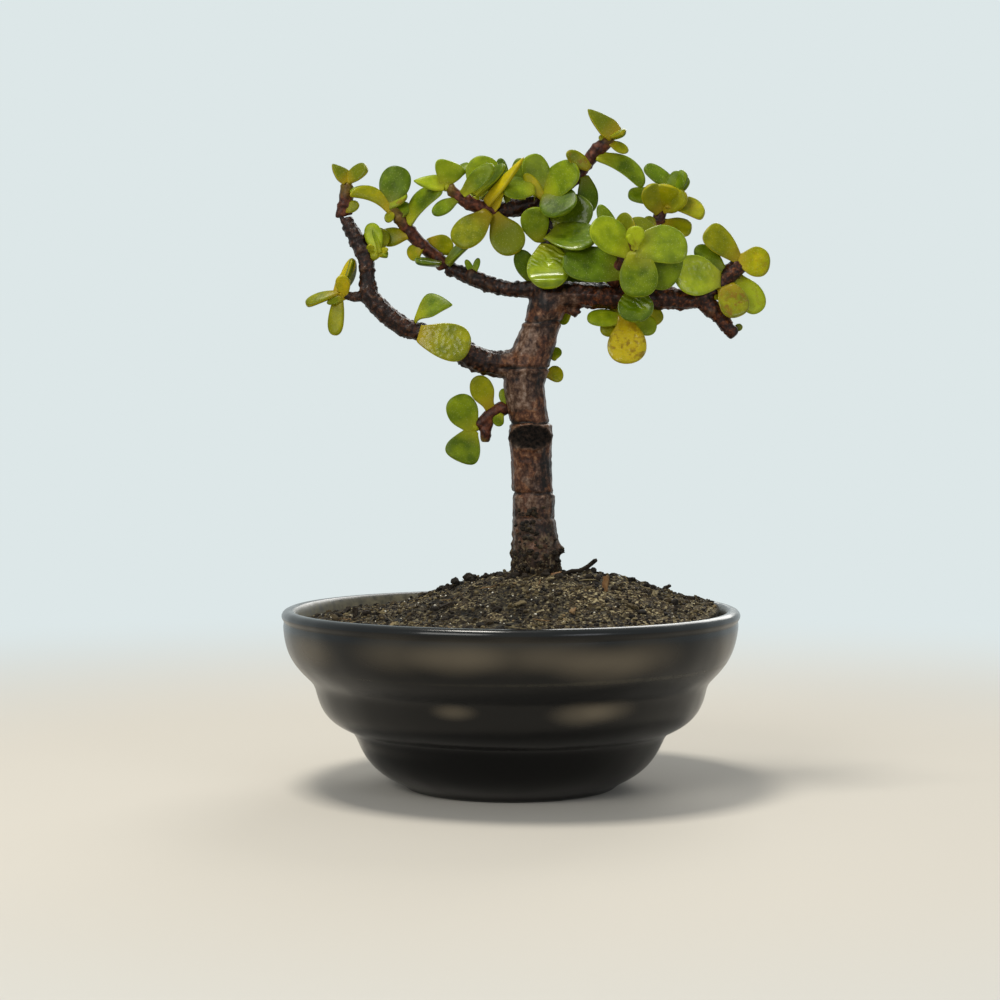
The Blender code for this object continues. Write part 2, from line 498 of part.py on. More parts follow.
# Groups from one bud: name, finish, bud centre, bud radius, then each leaf's tip, width, face...
CLUSTERS = [
    ("leaves_far_left_tip", LEAF_YELLOW, (-39.2, 3, 146.0), 1.0,
     [((-42.7, 2.4, 149.0), 4.2, (0.8, -0.3, 0.5)),
      ((-34.4, 1.6, 148.4), 4.6, (-0.5, -0.8, 0.7))]),
    ("leaves_left_spur", LEAF_YELLOW, (-41.0, 1.2, 118.2), 1.0,
     [((-41.0, -1.5, 124.4), 3.6, (1, -0.2, 0.1), 0.12), ((-37.6, 1.8, 126.5), 3.6, (-0.5, -1, 0)),
      ((-49.0, 0.2, 115.5), 3.2, (0.1, -0.6, 1)), ((-42.1, 0.4, 108.0), 4.0, (-0.3, -1, 0)),
      ((-38.0, 3.8, 122.6), 3.4, (-0.7, -0.8, 0))]),
    ("leaves_branch_bud", LEAF_YELLOW, (-31.3, -0.8, 127.4), 0.8,
     [((-33.8, -2.8, 132.3), 4.2, (-0.2, -1, 0.2)), ((-33.6, 0.8, 134.8), 3.0, (-0.8, -0.6, 0)),
      ((-29.2, -0.4, 127.4), 2.4, (0, -0.6, 1))]),
    ("leaves_upper_left_tip", LEAF_DARK, (-29.5, 2.3, 139.8), 1.0,
     [((-38.4, 1.0, 142.4), 4.6, (0.1, -0.3, 1), 0.14), ((-26.4, 3.4, 148.5), 7.8, (0, -1, 0.3)),
      ((-26.2, -1.4, 143.6), 4.4, (-0.6, -0.7, 0.5))]),
    ("leaves_crown_left_tip", LEAF_YELLOW, (-16.0, 0.9, 144.5), 1.0,
     [((-23.7, 0.2, 145.0), 4.4, (0, -0.6, 1)), ((-15.6, 0.2, 149.6), 6.2, (0.3, -1, 0.2)),
      ((-10.0, 4.2, 149.3), 3.6, (-0.8, -0.5, 0.7))]),
    ("leaves_crown_bright", LEAF_GREEN, (-8.2, 0.9, 142.0), 0.8,
     [((-5.6, 2.2, 150.8), 7.8, (0, -1, 0.2)), ((-1.5, -0.6, 148.6), 3.6, (-0.6, -0.8, 0.5))]),
    ("leaves_crown_pair", LEAF_GREEN, (8.0, 3.6, 143.8), 0.8,
     [((4.7, 1.4, 151.2), 6.6, (0.2, -1, 0.3)), ((15.9, -1.2, 147.9), 8.0, (-0.2, -1, 0.6))]),
    ("leaves_apex_tip", LEAF_YELLOW, (25.0, 1.9, 156.2), 1.0,
     [((18.3, 1.4, 161.9), 4.8, (0.7, -0.5, 0.7)), ((26.6, -4.4, 156.2), 4.6, (-0.3, -0.3, 1))]),
    ("leaves_right_tip", LEAF_DARK, (39.2, 2.8, 143.9), 0.9,
     [((32.3, 3.8, 149.2), 4.8, (0.5, -1, 0.5)), ((41.0, -1.4, 145.6), 6.0, (-0.3, -0.8, 0.7))]),
    ("leaves_rosette_heart", LEAF_YELLOW, (29.5, -10.6, 132.6), 1.7,
     [((25.4, -4.4, 135.9), 5.2, (-0.1, -1, 0.4)), ((31.8, -6.0, 135.2), 5.2, (0.1, -1, 0.4))]),
    ("leaves_under_branch", LEAF_GREEN, (27.5, -3.2, 110.9), 0.7,
     [((18.0, -3.2, 112.2), 4.4, (0, -1, 0.6)), ((34.6, -2.6, 109.6), 5.0, (0, -1, 0.4))]),
    ("leaves_right_end_tip", LEAF_YELLOW, (54.2, 0.6, 126.6), 1.0,
     [((46.5, -1.2, 133.3), 6.6, (0.3, -1, 0.4)), ((61.8, 0.0, 124.9), 7.8, (0, -1, 0.4))]),
    ("leaves_low_left_tip", LEAF_GREEN, (-9.7, 0.9, 85.1), 0.8,
     [((-13.4, 0.2, 93.7), 7.6, (0.1, -1, 0)), ((-12.6, -0.8, 78.0), 8.2, (0, -1, 0.2))]),
]


def leaves():
    for name, finish, base, tip, width, face, arch, cup in LEAVES:
        leaf(name, finish, base, tip, width, face, arch, cup)
    for name, finish, centre, radius, blades in CLUSTERS:
        leaf_cluster(name, finish, centre, radius, blades)


# ---------------------------------------------------------------- litter on the soil

# A dry twig: (x, y, height above the soil under its foot, radius) places along it
TWIG = [(13.0, -3.0, 0.9, 0.5), (16.5, -3.4, 1.1, 0.5), (20.3, -4.0, 3.6, 0.4)]


def litter():
    """The twig lies on the soil with its far end raised."""
    ground = soil_height(*TWIG[0][:2])
    points = [(x, y, ground + height, radius) for x, y, height, radius in TWIG]
    limb("soil_twig", points, LITTER_SIDES, DRY_WOOD)


pot()
drainage_mesh()
trunk()
soil(root_pockets())
shoots()
leaves()
litter()
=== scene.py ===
"""Looks of a dwarf jade (elephant bush) bonsai in a black glazed bowl."""
import json
import math
import random
from functools import partial

import bmesh
import bpy
from mathutils import Matrix, Vector, kdtree, noise
from mathutils.bvhtree import BVHTree


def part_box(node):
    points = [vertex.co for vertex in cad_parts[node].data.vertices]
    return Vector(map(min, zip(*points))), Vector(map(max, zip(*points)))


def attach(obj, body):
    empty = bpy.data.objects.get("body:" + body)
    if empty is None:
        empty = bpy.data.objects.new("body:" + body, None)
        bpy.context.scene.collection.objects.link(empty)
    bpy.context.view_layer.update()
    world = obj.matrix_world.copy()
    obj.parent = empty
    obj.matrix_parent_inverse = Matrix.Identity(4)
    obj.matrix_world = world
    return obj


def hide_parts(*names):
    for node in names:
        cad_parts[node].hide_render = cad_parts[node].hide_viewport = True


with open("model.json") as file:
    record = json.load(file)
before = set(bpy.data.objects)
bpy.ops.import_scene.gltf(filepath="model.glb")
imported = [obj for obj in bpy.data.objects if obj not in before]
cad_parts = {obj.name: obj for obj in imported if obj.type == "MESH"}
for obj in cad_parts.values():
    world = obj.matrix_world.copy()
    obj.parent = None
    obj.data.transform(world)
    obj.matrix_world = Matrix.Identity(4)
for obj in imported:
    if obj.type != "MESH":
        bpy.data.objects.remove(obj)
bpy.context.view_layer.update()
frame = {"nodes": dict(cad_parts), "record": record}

# ---------------------------------------------------------------- the bowl
# A stoneware bowl thrown on a wheel in three swelling tiers, with a rolled lip, and dipped in a
# black glaze that fired to a soft gloss.  Hand throwing leaves the tiers slightly uneven, and
# potting mix has left a film of dust on the wall inside.
MM = 0.001
BOWL_LOW, BOWL_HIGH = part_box("pot")
BOWL_RIM = BOWL_HIGH.x / MM
BOWL_TOP = BOWL_HIGH.z / MM
BOWL_FOOT = 25.2
BOWL_FOOT_EDGE = (26.2, 1.2)       # radius and height
BOWL_LOWER_CREASE = (37.6, 13.6)
BOWL_UPPER_CREASE = (47.2, 25.2)
BOWL_LIP_START = (54.5, 39.4)
BOWL_BULGES = (2.1, 2.6, 1.9)      # how far each tier swells out from its chord
BOWL_LIP = [(0.85, 2.9), (0.2, 2.2), (0.0, 1.4), (0.6, 0.35), (1.8, 0.0), (3.1, 0.35), (3.9, 1.4)]
BOWL_INSIDE = ((50.4, 37.6), (22.2, 5.0))
BOWL_INSIDE_BULGE = 5.6
BOWL_TURNS = 96
BOWL_WAVER = 0.4                   # unevenness left by hand throwing, in mm
PAINTED_REFLECTION_RADII = (45.0, 51.0)         # of the middle and the upper tier
PAINTED_REFLECTION_SQUASH = 2.6                 # how much wider than high a patch of painted reflection is
DUST_START, DUST_FULL = 2.8, 4.6   # distance in from the rim
DUST_ABOVE = 30                    # height from which the wall inside is dusty
# Patches of painted reflection, a brown-grey band painted on the two upper tiers: bearing from
# the right in degrees, height and size in mm, and how strong
PAINTED_REFLECTION_PATCHES = [(-77, 36.6, 14, 0.55), (-67, 34.4, 15, 0.6), (-57, 36.0, 15, 0.55),
                (-90, 37.2, 15, 0.4), (-103, 36.6, 14, 0.8), (-119, 36.8, 15, 0.45),
                (-62, 23.6, 9, 0.6), (-70, 23.2, 10, 0.75), (-106, 23.8, 7, 0.7),
                (-150, 35.5, 15, 0.7), (-20, 36.0, 13, 0.6), (20, 35.0, 16, 0.8),
                (62, 36.0, 17, 0.9), (100, 35.0, 13, 0.7), (140, 36.5, 17, 0.8),
                (40, 23.0, 9, 0.8), (120, 22.8, 9, 0.7), (170, 23.0, 8, 0.7)]
DRAIN_RADIUS = 2.5
DRAIN_CIRCLE = 11.0
DRAIN_COUNT = 3


def linear(code):
    """A linear colour from an sRGB hex code."""
    shares = [int(code[i:i + 2], 16) / 255 for i in (1, 3, 5)]
    return (*[s / 12.92 if s <= 0.04045 else ((s + 0.055) / 1.055) ** 2.4 for s in shares], 1.0)


def repeat(size_mm):
    """The texture scale that gives a pattern of this size on Object coordinates in metres."""
    return 1.0 / (size_mm * MM)


def feed(node, **sockets):
    """Give sockets by name a value, a hex colour, or the output that they are linked to."""
    for name, value in sockets.items():
        give(node.inputs[name.replace("_", " ")], value)


def give(socket, value):
    if isinstance(value, bpy.types.NodeSocket):
        socket.id_data.links.new(value, socket)
    else:
        socket.default_value = linear(value) if isinstance(value, str) else value


def finish(name, **sockets):
    """A new material, how to put nodes in it, its shader with sockets set, and Object coords."""
    made = bpy.data.materials.new(name)
    made.use_nodes = True
    shader = made.node_tree.nodes["Principled BSDF"]
    feed(shader, **sockets)
    put = partial(add, made.node_tree)
    return made, put, shader, put("TexCoord", out="Object")


def add(tree, kind, *values, out=None, stops=(), **settings):
    """A shader node: its sockets in order, then its settings and sockets by name; its output."""
    made = tree.nodes.new("ShaderNode" + kind)
    for name in [n for n in settings if hasattr(made, n)]:
        setattr(made, name, settings.pop(name))
    for socket, value in zip([s for s in made.inputs if s.enabled], values):
        give(socket, value)
    feed(made, **settings)
    for i, (spot, colour) in enumerate(stops):
        band = made.color_ramp.elements
        stop = band[i] if i < len(band) else band.new(1.0)
        stop.position, stop.color = spot, linear(colour)
    return made.outputs[out] if out else next(s for s in made.outputs if s.enabled)


def swell(start, end, bulge, steps):
    """(radius, height) points from start to end, standing out by bulge in the middle."""
    start, end = Vector(start), Vector(end)
    chord = end - start
    outward = Vector((chord.y, -chord.x)).normalized()
    shares = [i / steps for i in range(steps + 1)]
    return [start + chord * s + outward * bulge * math.sin(math.pi * s) for s in shares]


def stand(name, data):
    """A mesh, lamp or camera as an object in the scene; a bmesh becomes a mesh and is freed."""
    if isinstance(data, bmesh.types.BMesh):
        bm, data = data, bpy.data.meshes.new(name)
        bm.to_mesh(data)
        bm.free()
    made = bpy.data.objects.new(name, data)
    bpy.context.scene.collection.objects.link(made)
    return made


def place(name, bm, material, slot, *nodes, smooth=True):
    """Finish a bmesh as a piece that rides on the root and stands for the CAD nodes named."""
    piece = stand(name, bm)
    piece.data.materials.append(material)
    if smooth:
        piece.data.shade_smooth()
    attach(piece, "root")
    if nodes:
        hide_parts(*nodes)
    return piece


def evaluated(bm, kind, **settings):
    """The bmesh after a modifier."""
    body = stand("work", bm)
    step = body.modifiers.new(kind, kind)
    for key, value in settings.items():
        setattr(step, key, value)
    graph = bpy.context.evaluated_depsgraph_get()
    result = bmesh.new()
    result.from_mesh(body.evaluated_get(graph).to_mesh())
    bpy.data.meshes.remove(body.data)
    return result


def bowl_profile():
    lower = swell(BOWL_FOOT_EDGE, BOWL_LOWER_CREASE, BOWL_BULGES[0], 7)
    middle = swell(BOWL_LOWER_CREASE, BOWL_UPPER_CREASE, BOWL_BULGES[1], 7)
    upper = swell(BOWL_UPPER_CREASE, BOWL_LIP_START, BOWL_BULGES[2], 7)
    lip = [Vector((BOWL_RIM - back, BOWL_TOP - drop)) for back, drop in BOWL_LIP]
    inside = swell(*BOWL_INSIDE, -BOWL_INSIDE_BULGE, 9)
    foot = [Vector((0.0, 0.0)), Vector((BOWL_FOOT - 0.6, 0.0)), Vector((BOWL_FOOT, 0.05))]
    centre = Vector((0.0, BOWL_INSIDE[1][1]))
    return foot + lower + middle[1:] + upper[1:] + lip + inside + [centre]


def make_bowl():
    bm = bmesh.new()
    verts = [bm.verts.new((p.x * MM, 0.0, p.y * MM)) for p in bowl_profile()]
    edges = [bm.edges.new(pair) for pair in zip(verts, verts[1:])]
    bmesh.ops.spin(bm, geom=verts + edges, cent=(0, 0, 0), axis=(0, 0, 1), angle=math.tau,
                   steps=BOWL_TURNS, use_merge=True)
    bmesh.ops.remove_doubles(bm, verts=bm.verts, dist=1e-6)
    bmesh.ops.recalc_face_normals(bm, faces=bm.faces)
    for vert in bm.verts:
        x, y, z = vert.co / MM
        if z < 2.0:
            continue
        angle = math.atan2(y, x)
        turn = Vector((math.cos(angle), math.sin(angle), z / 18.0))
        drift = noise.noise(turn * 1.3) * BOWL_WAVER
        vert.co.x += math.cos(angle) * drift * MM
        vert.co.y += math.sin(angle) * drift * MM
        vert.co.z += noise.noise(turn * 1.1 + Vector((7, 0, 0))) * BOWL_WAVER * MM
    drill = bmesh.new()
    for i in range(DRAIN_COUNT):
        angle = math.tau * (i + 0.25) / DRAIN_COUNT
        spot = Vector((math.cos(angle), math.sin(angle), 0.0)) * DRAIN_CIRCLE * MM
        bmesh.ops.create_cone(drill, cap_ends=True, segments=32, radius1=DRAIN_RADIUS * MM,
                              radius2=DRAIN_RADIUS * MM, depth=20 * MM,
                              matrix=Matrix.Translation(spot))
    drill = stand("drill", drill)
    bm = evaluated(evaluated(bm, "SUBSURF", levels=1, render_levels=1), "BOOLEAN",
                   operation="DIFFERENCE", solver="EXACT", object=drill)
    bpy.data.meshes.remove(drill.data)
    return bm


def black_glaze():
    """Black stoneware glaze: a deep black glass coat, soft in its gloss, dusty inside, with a
    brown-grey reflection painted on its two upper tiers.
    """
    made, put, shader, coords = finish("black_stoneware_glaze", IOR=1.5, Metallic=0.0,
                                        Specular_IOR_Level=0.3)
    flow = put("TexNoise", coords, Scale=repeat(22), Detail=3.0)
    gloss = put("MapRange", flow, 0.3, 0.7, 0.16, 0.26)
    # Dust lies inside, from just under the lip down to the soil
    across = put("VectorMath", coords, (1.0, 1.0, 0.0), operation="MULTIPLY")
    radius = put("VectorMath", across, operation="LENGTH")
    inner = put("MapRange", radius, (BOWL_RIM - DUST_START) * MM, (BOWL_RIM - DUST_FULL) * MM)
    parts = put("SeparateXYZ", coords, out="Z")
    above = put("MapRange", parts, DUST_ABOVE * MM, (DUST_ABOVE + 1) * MM)
    inside = put("Math", inner, above, operation="MULTIPLY")
    grit = put("TexNoise", coords, Scale=repeat(2.2), Detail=6.0, Roughness=0.65)
    patchy = put("MapRange", grit, 0.36, 0.6, 0.35, 0.95)
    dust = put("Math", inside, patchy, operation="MULTIPLY")
    # Painted reflection: soft brown-grey patches painted into the black over the swell of the two
    # upper tiers
    flat = put("VectorMath", coords, (1.0, 1.0, PAINTED_REFLECTION_SQUASH), operation="MULTIPLY")
    broken = None
    for bearing, height, size, share in PAINTED_REFLECTION_PATCHES:
        out = PAINTED_REFLECTION_RADII[height > BOWL_UPPER_CREASE[1]] * MM
        angle = math.radians(bearing)
        middle = (out * math.cos(angle), out * math.sin(angle), PAINTED_REFLECTION_SQUASH * height * MM)
        away = put("VectorMath", flat, middle, operation="DISTANCE")
        spot = put("MapRange", away, size * MM, size * 0.1 * MM, 0.0, share,
                   interpolation_type="SMOOTHSTEP")
        broken = spot if broken is None else put("Math", broken, spot, operation="ADD",
                                                 use_clamp=True)
    glaze_with_painted_reflection = put("Mix", broken, "#050505", "#5a5244", data_type="RGBA")
    colour = put("Mix", dust, glaze_with_painted_reflection, "#7d765f", data_type="RGBA")
    rough = put("Mix", dust, gloss, 0.8, data_type="FLOAT")
    # The glaze pooled unevenly, in soft swells about 14 mm across
    pools = put("TexNoise", coords, Scale=repeat(14.0), Detail=1.0)
    bump = put("Bump", Strength=0.5, Distance=1.0 * MM, Height=pools)
    feed(shader, Base_Color=colour, Roughness=rough, Normal=bump)
    return made


place("glazed_bowl", make_bowl(), black_glaze(), "pot_glaze", "pot")

# ---------------------------------------------------------------- drainage mesh
# A stamped disc of dark green polypropylene mesh that keeps the mix from washing out through
# the holes.  It lies loose on the bowl's floor, under the soil.


def mesh_plastic():
    """Polypropylene mesh: dull, slightly waxy, scuffed by grit."""
    made, put, shader, coords = finish("green_polypropylene", IOR=1.49, Metallic=0.0)
    scuff = put("TexNoise", coords, Scale=repeat(1.5), Detail=4.0)
    colour = put("ValToRGB", scuff, stops=[(0.35, "#1f2b22"), (0.7, "#33413a")])
    rough = put("MapRange", scuff, 0.0, 1.0, 0.45, 0.7)
    feed(shader, Base_Color=colour, Roughness=rough)
    return made


frame["nodes"]["drainage_mesh"].material_slots[0].material = mesh_plastic()

# ---------------------------------------------------------------- the soil
# Bonsai potting mix: crumbled bark, peat and grit, dry on top.  It is heaped up round the trunk,
# with loose grains, small clods, bark chips, fibres and a few white specks of perlite lying on it.
SOIL_VOXEL = 0.62
SOIL_GRAINS = 4800
SOIL_CLODS = 46
SOIL_FIBRES = 70
SOIL_LOWEST = 37.0                 # where the mix lies lowest against the bowl's wall
SOIL_WALL = 50.2                   # radius of the wall there
SOIL_FADE = 2.5                    # over which the crumbs grow level towards the wall
SOIL_EDGE = 49.0                   # radius within which loose bits lie
# Size and height of the hollows and clods, of the crumbs, and of the grains between them
SOIL_LUMPS, SOIL_CRUMBS, SOIL_FINES = (4.6, 0.62), (1.7, 0.36), (0.9, 0.16)
PERLITE_SHARE = 0.035
# Large clods of crumbs: X, Y and size
CLODS = [(-10.5, -1.0, 3.4), (-12.6, 0.5, 2.8), (-8.2, 0.4, 2.6), (-14.6, -0.8, 2.4),
         (-6.0, -0.6, 2.2), (-3.4, 0.8, 2.0), (-17.0, 0.2, 2.0), (24.6, 1.5, 2.0),
         (29.0, 0.5, 1.8), (-20.5, 0.0, 1.6), (33.0, 2.5, 1.8), (0.5, -6.0, 2.4),
         (3.6, -8.4, 2.0), (11.8, -7.0, 2.2), (8.0, -7.6, 1.8), (-1.6, -3.4, 2.4)]


def copied(node):
    """A merged copy of a CAD node's mesh."""
    bm = bmesh.new()
    bm.from_mesh(frame["nodes"][node].data)
    bmesh.ops.remove_doubles(bm, verts=bm.verts, dist=1e-6)
    return bm


def remeshed(bm, voxel_mm):
    """An even, closed skin of small faces over a solid."""
    return evaluated(bm, "REMESH", mode="VOXEL", voxel_size=voxel_mm * MM)


def limit(value):
    return max(0.0, min(1.0, value))


def crumb(spot, size_mm):
    """Height of grains of one size packed side by side, from -1 to 1."""
    return 1.0 - 1.6 * noise.voronoi(spot / size_mm)[0][0]


def make_soil():
    bm = remeshed(copied("soil"), SOIL_VOXEL)
    grain = bm.verts.layers.float.new("grain")
    bm.normal_update()
    for vert in bm.verts:
        spot = vert.co / MM
        if vert.normal.z < 0.25 or spot.z < SOIL_LOWEST:
            continue
        away = Vector((spot.x, spot.y, 0.0)).length
        free = limit((SOIL_WALL - away) / SOIL_FADE)
        lumps = noise.fractal(spot / SOIL_LUMPS[0], 0.9, 2.0, 4)
        grains = crumb(spot, SOIL_CRUMBS[0])
        small = crumb(spot + Vector((40, 0, 0)), SOIL_FINES[0])
        vert.co.z += (SOIL_LUMPS[1] * lumps + SOIL_CRUMBS[1] * grains
                      + SOIL_FINES[1] * small) * free * MM
        # The crumbs' height, from which the material paints shade into the hollows
        vert[grain] = 0.5 + 0.5 * max(-1.0, min(1.0, 0.9 * lumps + 0.5 * grains))
    return bm


def potting_mix():
    """Crumbled bark and peat: matt, with painted shade in the hollows, and pale dry grains on top.
    """
    made, put, shader, coords = finish("bark_potting_mix", IOR=1.35, Metallic=0.0,
                                        Roughness=0.95)
    grain = put("Attribute", out="Fac", attribute_name="grain")
    # Crumbs about 0.5 mm across, each with its own shade
    speck = put("TexVoronoi", coords, out="Color", Scale=repeat(0.5))
    fine = put("TexNoise", coords, Scale=repeat(0.8), Detail=6.0, Roughness=0.7)
    drift = put("TexNoise", coords, Scale=repeat(9.0), Detail=2.0)
    tint = put("SeparateColor", speck)
    spread = put("Math", tint, 0.45, fine, operation="MULTIPLY_ADD")
    pick = put("ValToRGB", spread,
               stops=[(0.42, "#0c0804"), (0.6, "#1f170d"), (0.74, "#3a2f1e"),
                      (0.88, "#62573d"), (0.99, "#9c9272")])
    # Painted shade: the colour is darkened where the crumbs lie low
    hollow_painted_shade = put("MapRange", grain, 0.2, 0.7, 0.2, 0.98)
    # More dust lies on the right of the heap than on the left
    parts = put("SeparateXYZ", coords)
    dusty = put("MapRange", parts, -12 * MM, 26 * MM, -0.1, 0.12)
    drier = put("Math", drift, dusty, operation="ADD")
    dry = put("MapRange", drier, 0.35, 0.65, 0.5, 1.5)
    level = put("Math", hollow_painted_shade, dry, operation="MULTIPLY")
    shaded = put("Mix", 1.0, pick, level, data_type="RGBA", blend_type="MULTIPLY")
    bump = put("Bump", Strength=0.9, Distance=0.5 * MM, Height=fine)
    feed(shader, Base_Color=shaded, Normal=bump)
    return made


def loose_grit():
    """Loose bits of bark, peat, grit and perlite, each with its own shade."""
    made, put, shader, coords = finish("loose_bark_and_grit", IOR=1.35, Metallic=0.0,
                                        Roughness=0.9)
    shade = put("Attribute", out="Fac", attribute_name="shade")
    pick = put("ValToRGB", shade,
               stops=[(0.0, "#0e0a06"), (0.3, "#21190f"), (0.6, "#443923"), (0.8, "#7a6e50"),
                      (0.9, "#6b4a2a"), (1.0, "#d5d0c0")])
    fine = put("TexNoise", coords, Scale=repeat(0.5), Detail=3.0)
    bump = put("Bump", Strength=0.5, Distance=0.2 * MM, Height=fine)
    feed(shader, Base_Color=pick, Normal=bump)
    return made


def layered(*values):
    """An empty bmesh whose points carry these values."""
    bm = bmesh.new()
    for value in values:
        bm.verts.layers.float.new(value)
    return bm


def join(bm, more):
    """Add one bmesh to another and free it; small shapes by the hundred come in batches."""
    mesh = bpy.data.meshes.new("batch")
    more.to_mesh(mesh)
    more.free()
    bm.from_mesh(mesh)
    bpy.data.meshes.remove(mesh)


def bit(bm, spot, size_mm, detail, dice, shade, flat=1.0):
    """One rough grain: a small ball, squashed, turned and dented."""
    turn = Matrix.Rotation(dice.uniform(0, math.tau), 4, "Z") @ Matrix.Rotation(
        dice.uniform(-0.9, 0.9), 4, "X")
    size = Matrix.Diagonal((size_mm * dice.uniform(0.7, 1.3), size_mm * dice.uniform(0.6, 1.0),
                            size_mm * dice.uniform(0.45, 0.8) * flat, 1.0)) * MM
    size[3][3] = 1.0
    made = bmesh.ops.create_icosphere(bm, subdivisions=detail, radius=0.5,
                                      matrix=Matrix.Translation(spot) @ turn @ size)["verts"]
    layer = bm.verts.layers.float["shade"]
    for vert in made:
        dent = noise.noise(vert.co / MM * (2.2 / size_mm)) * 0.22 * size_mm * MM
        vert.co += (vert.co - spot).normalized() * dent
        vert[layer] = shade


def on_soil(x, y):
    """The soil's surface at a place in mm, in metres."""
    return soil_top.ray_cast(Vector((x * MM, y * MM, 0.08)), Vector((0, 0, -1)))[0]


def anywhere(dice, reach):
    """A random place on the soil, X and Y in mm."""
    angle = dice.uniform(0, math.tau)
    away = reach * math.sqrt(dice.random())
    return away * math.cos(angle), away * math.sin(angle)


def tube(bm, path, radii, sides, shade=None):
    """A closed round tube through points in metres; radii in metres, one a point."""
    previous = None
    side = Vector((0.0, 0.0, 1.0))
    if abs((path[-1] - path[0]).normalized().z) > 0.9:
        side = Vector((0.0, 1.0, 0.0))
    made = []
    for i, (spot, radius) in enumerate(zip(path, radii)):
        ahead = path[min(i + 1, len(path) - 1)]
        behind = path[max(i - 1, 0)]
        along = (ahead - behind).normalized()
        side = (side - along * side.dot(along)).normalized()
        pose = Matrix((side, along.cross(side), along)).transposed().to_4x4()
        pose.translation = spot
        ring = bmesh.ops.create_circle(bm, segments=sides, radius=radius, matrix=pose,
                                       cap_ends=i in (0, len(path) - 1))["verts"]
        edges = list({e for v in ring for e in v.link_edges if e.other_vert(v) in ring})
        if previous:
            bmesh.ops.bridge_loops(bm, edges=previous + edges)
        previous = edges
        made += ring
    for vert in made if shade is not None else ():
        vert[bm.verts.layers.float["shade"]] = shade


def make_grit():
    """Grains and specks all over, clods among them, and clods on the shoulders of the heap."""
    dice = random.Random(11)
    bm, batch = layered("shade"), layered("shade")
    for number in range(SOIL_GRAINS):
        if number % 80 == 79:
            join(bm, batch)
            batch = layered("shade")
        spot = on_soil(*anywhere(dice, SOIL_EDGE))
        if spot is None:
            continue
        size = 0.5 + 0.9 * dice.random() ** 2.5
        shade = 0.84 * dice.random() ** (1.1 if spot.x > 9 * MM else 1.7)
        if dice.random() < PERLITE_SHARE:
            shade, size = 1.0, dice.uniform(0.3, 0.6)
        bit(batch, spot + Vector((0, 0, 0.15 * size * MM)), size, 1, dice, shade)
    join(bm, batch)
    for _ in range(SOIL_CLODS):
        spot = on_soil(*anywhere(dice, SOIL_EDGE * 0.92))
        size = dice.uniform(1.6, 3.0)
        bit(bm, spot + Vector((0, 0, 0.1 * size * MM)), size, 2, dice, dice.uniform(0.05, 0.5))
    dice = random.Random(5)
    for x, y, size in CLODS:
        for _ in range(5):
            nudge = Vector((dice.uniform(-0.4, 0.4), dice.uniform(-0.4, 0.4),
                            dice.uniform(0.0, 0.35))) * size * MM
            bit(bm, on_soil(x, y) + nudge, size * dice.uniform(0.5, 0.85), 2, dice,
                dice.uniform(0, 0.35))
    return bm


def make_fibres():
    """Peat fibres and hair roots lying on the mix."""
    dice = random.Random(23)
    bm = layered("shade")
    for _ in range(SOIL_FIBRES):
        x, y = anywhere(dice, SOIL_EDGE * 0.9)
        heading = dice.uniform(0, math.tau)
        bend = dice.uniform(-0.35, 0.35)
        path = []
        for _ in range(5):
            spot = on_soil(x, y)
            if spot is None:
                break
            path.append(spot + Vector((0, 0, dice.uniform(0.15, 0.6) * MM)))
            x += 1.3 * math.cos(heading)
            y += 1.3 * math.sin(heading)
            heading += bend
        if len(path) == 5:
            thick = dice.uniform(0.09, 0.17) * MM
            tube(bm, path, [thick * 0.6, thick, thick, thick, thick * 0.4], 5,
                 dice.uniform(0.3, 0.9))
    return bm


soil_skin = make_soil()
soil_top = BVHTree.FromBMesh(soil_skin)
place("potting_mix_heap", soil_skin, potting_mix(), "soil", "soil")
GRIT = loose_grit()
place("loose_grains", make_grit(), GRIT, "soil", smooth=False)
place("peat_fibres", make_fibres(), GRIT, "soil")

# ---------------------------------------------------------------- bark chips and the dry twig
# Flakes of pine bark from the mix, broken along the grain, and a dry snapped twig that lies on
# the heap with its end raised.
CHIP_THICK = 0.55
# X, Y, length, width, which way it points, how far it leans, in degrees, and its shade
CHIPS = [(22.0, -15.0, 3.6, 1.5, 62, 80, 0.88), (10.6, -6.4, 2.6, 1.2, 12, 12, 0.9),
         (-30.5, -14.0, 3.0, 1.4, 200, 22, 0.2), (-37.0, -6.0, 2.4, 1.2, 110, 65, 0.25),
         (2.0, -24.0, 2.8, 1.2, 40, 10, 0.7), (34.0, -9.0, 3.2, 1.3, 80, 14, 0.72),
         (-15.0, -20.0, 3.4, 1.3, 20, 16, 0.3), (28.0, -24.0, 2.6, 1.3, 140, 12, 0.6),
         (14.0, -29.0, 2.4, 1.1, 75, 15, 0.86), (-22.0, 20.0, 3.4, 1.4, 40, 20, 0.5),
         (20.0, 24.0, 3.0, 1.4, 160, 14, 0.88), (38.0, 12.0, 2.6, 1.2, 20, 25, 0.3),
         (-5.0, -33.0, 2.6, 1.2, 100, 12, 0.4), (-40.0, 8.0, 2.6, 1.3, 60, 25, 0.2),
         (6.0, 30.0, 3.0, 1.3, 10, 12, 0.7), (-27.0, -27.0, 2.2, 1.1, 60, 20, 0.8)]


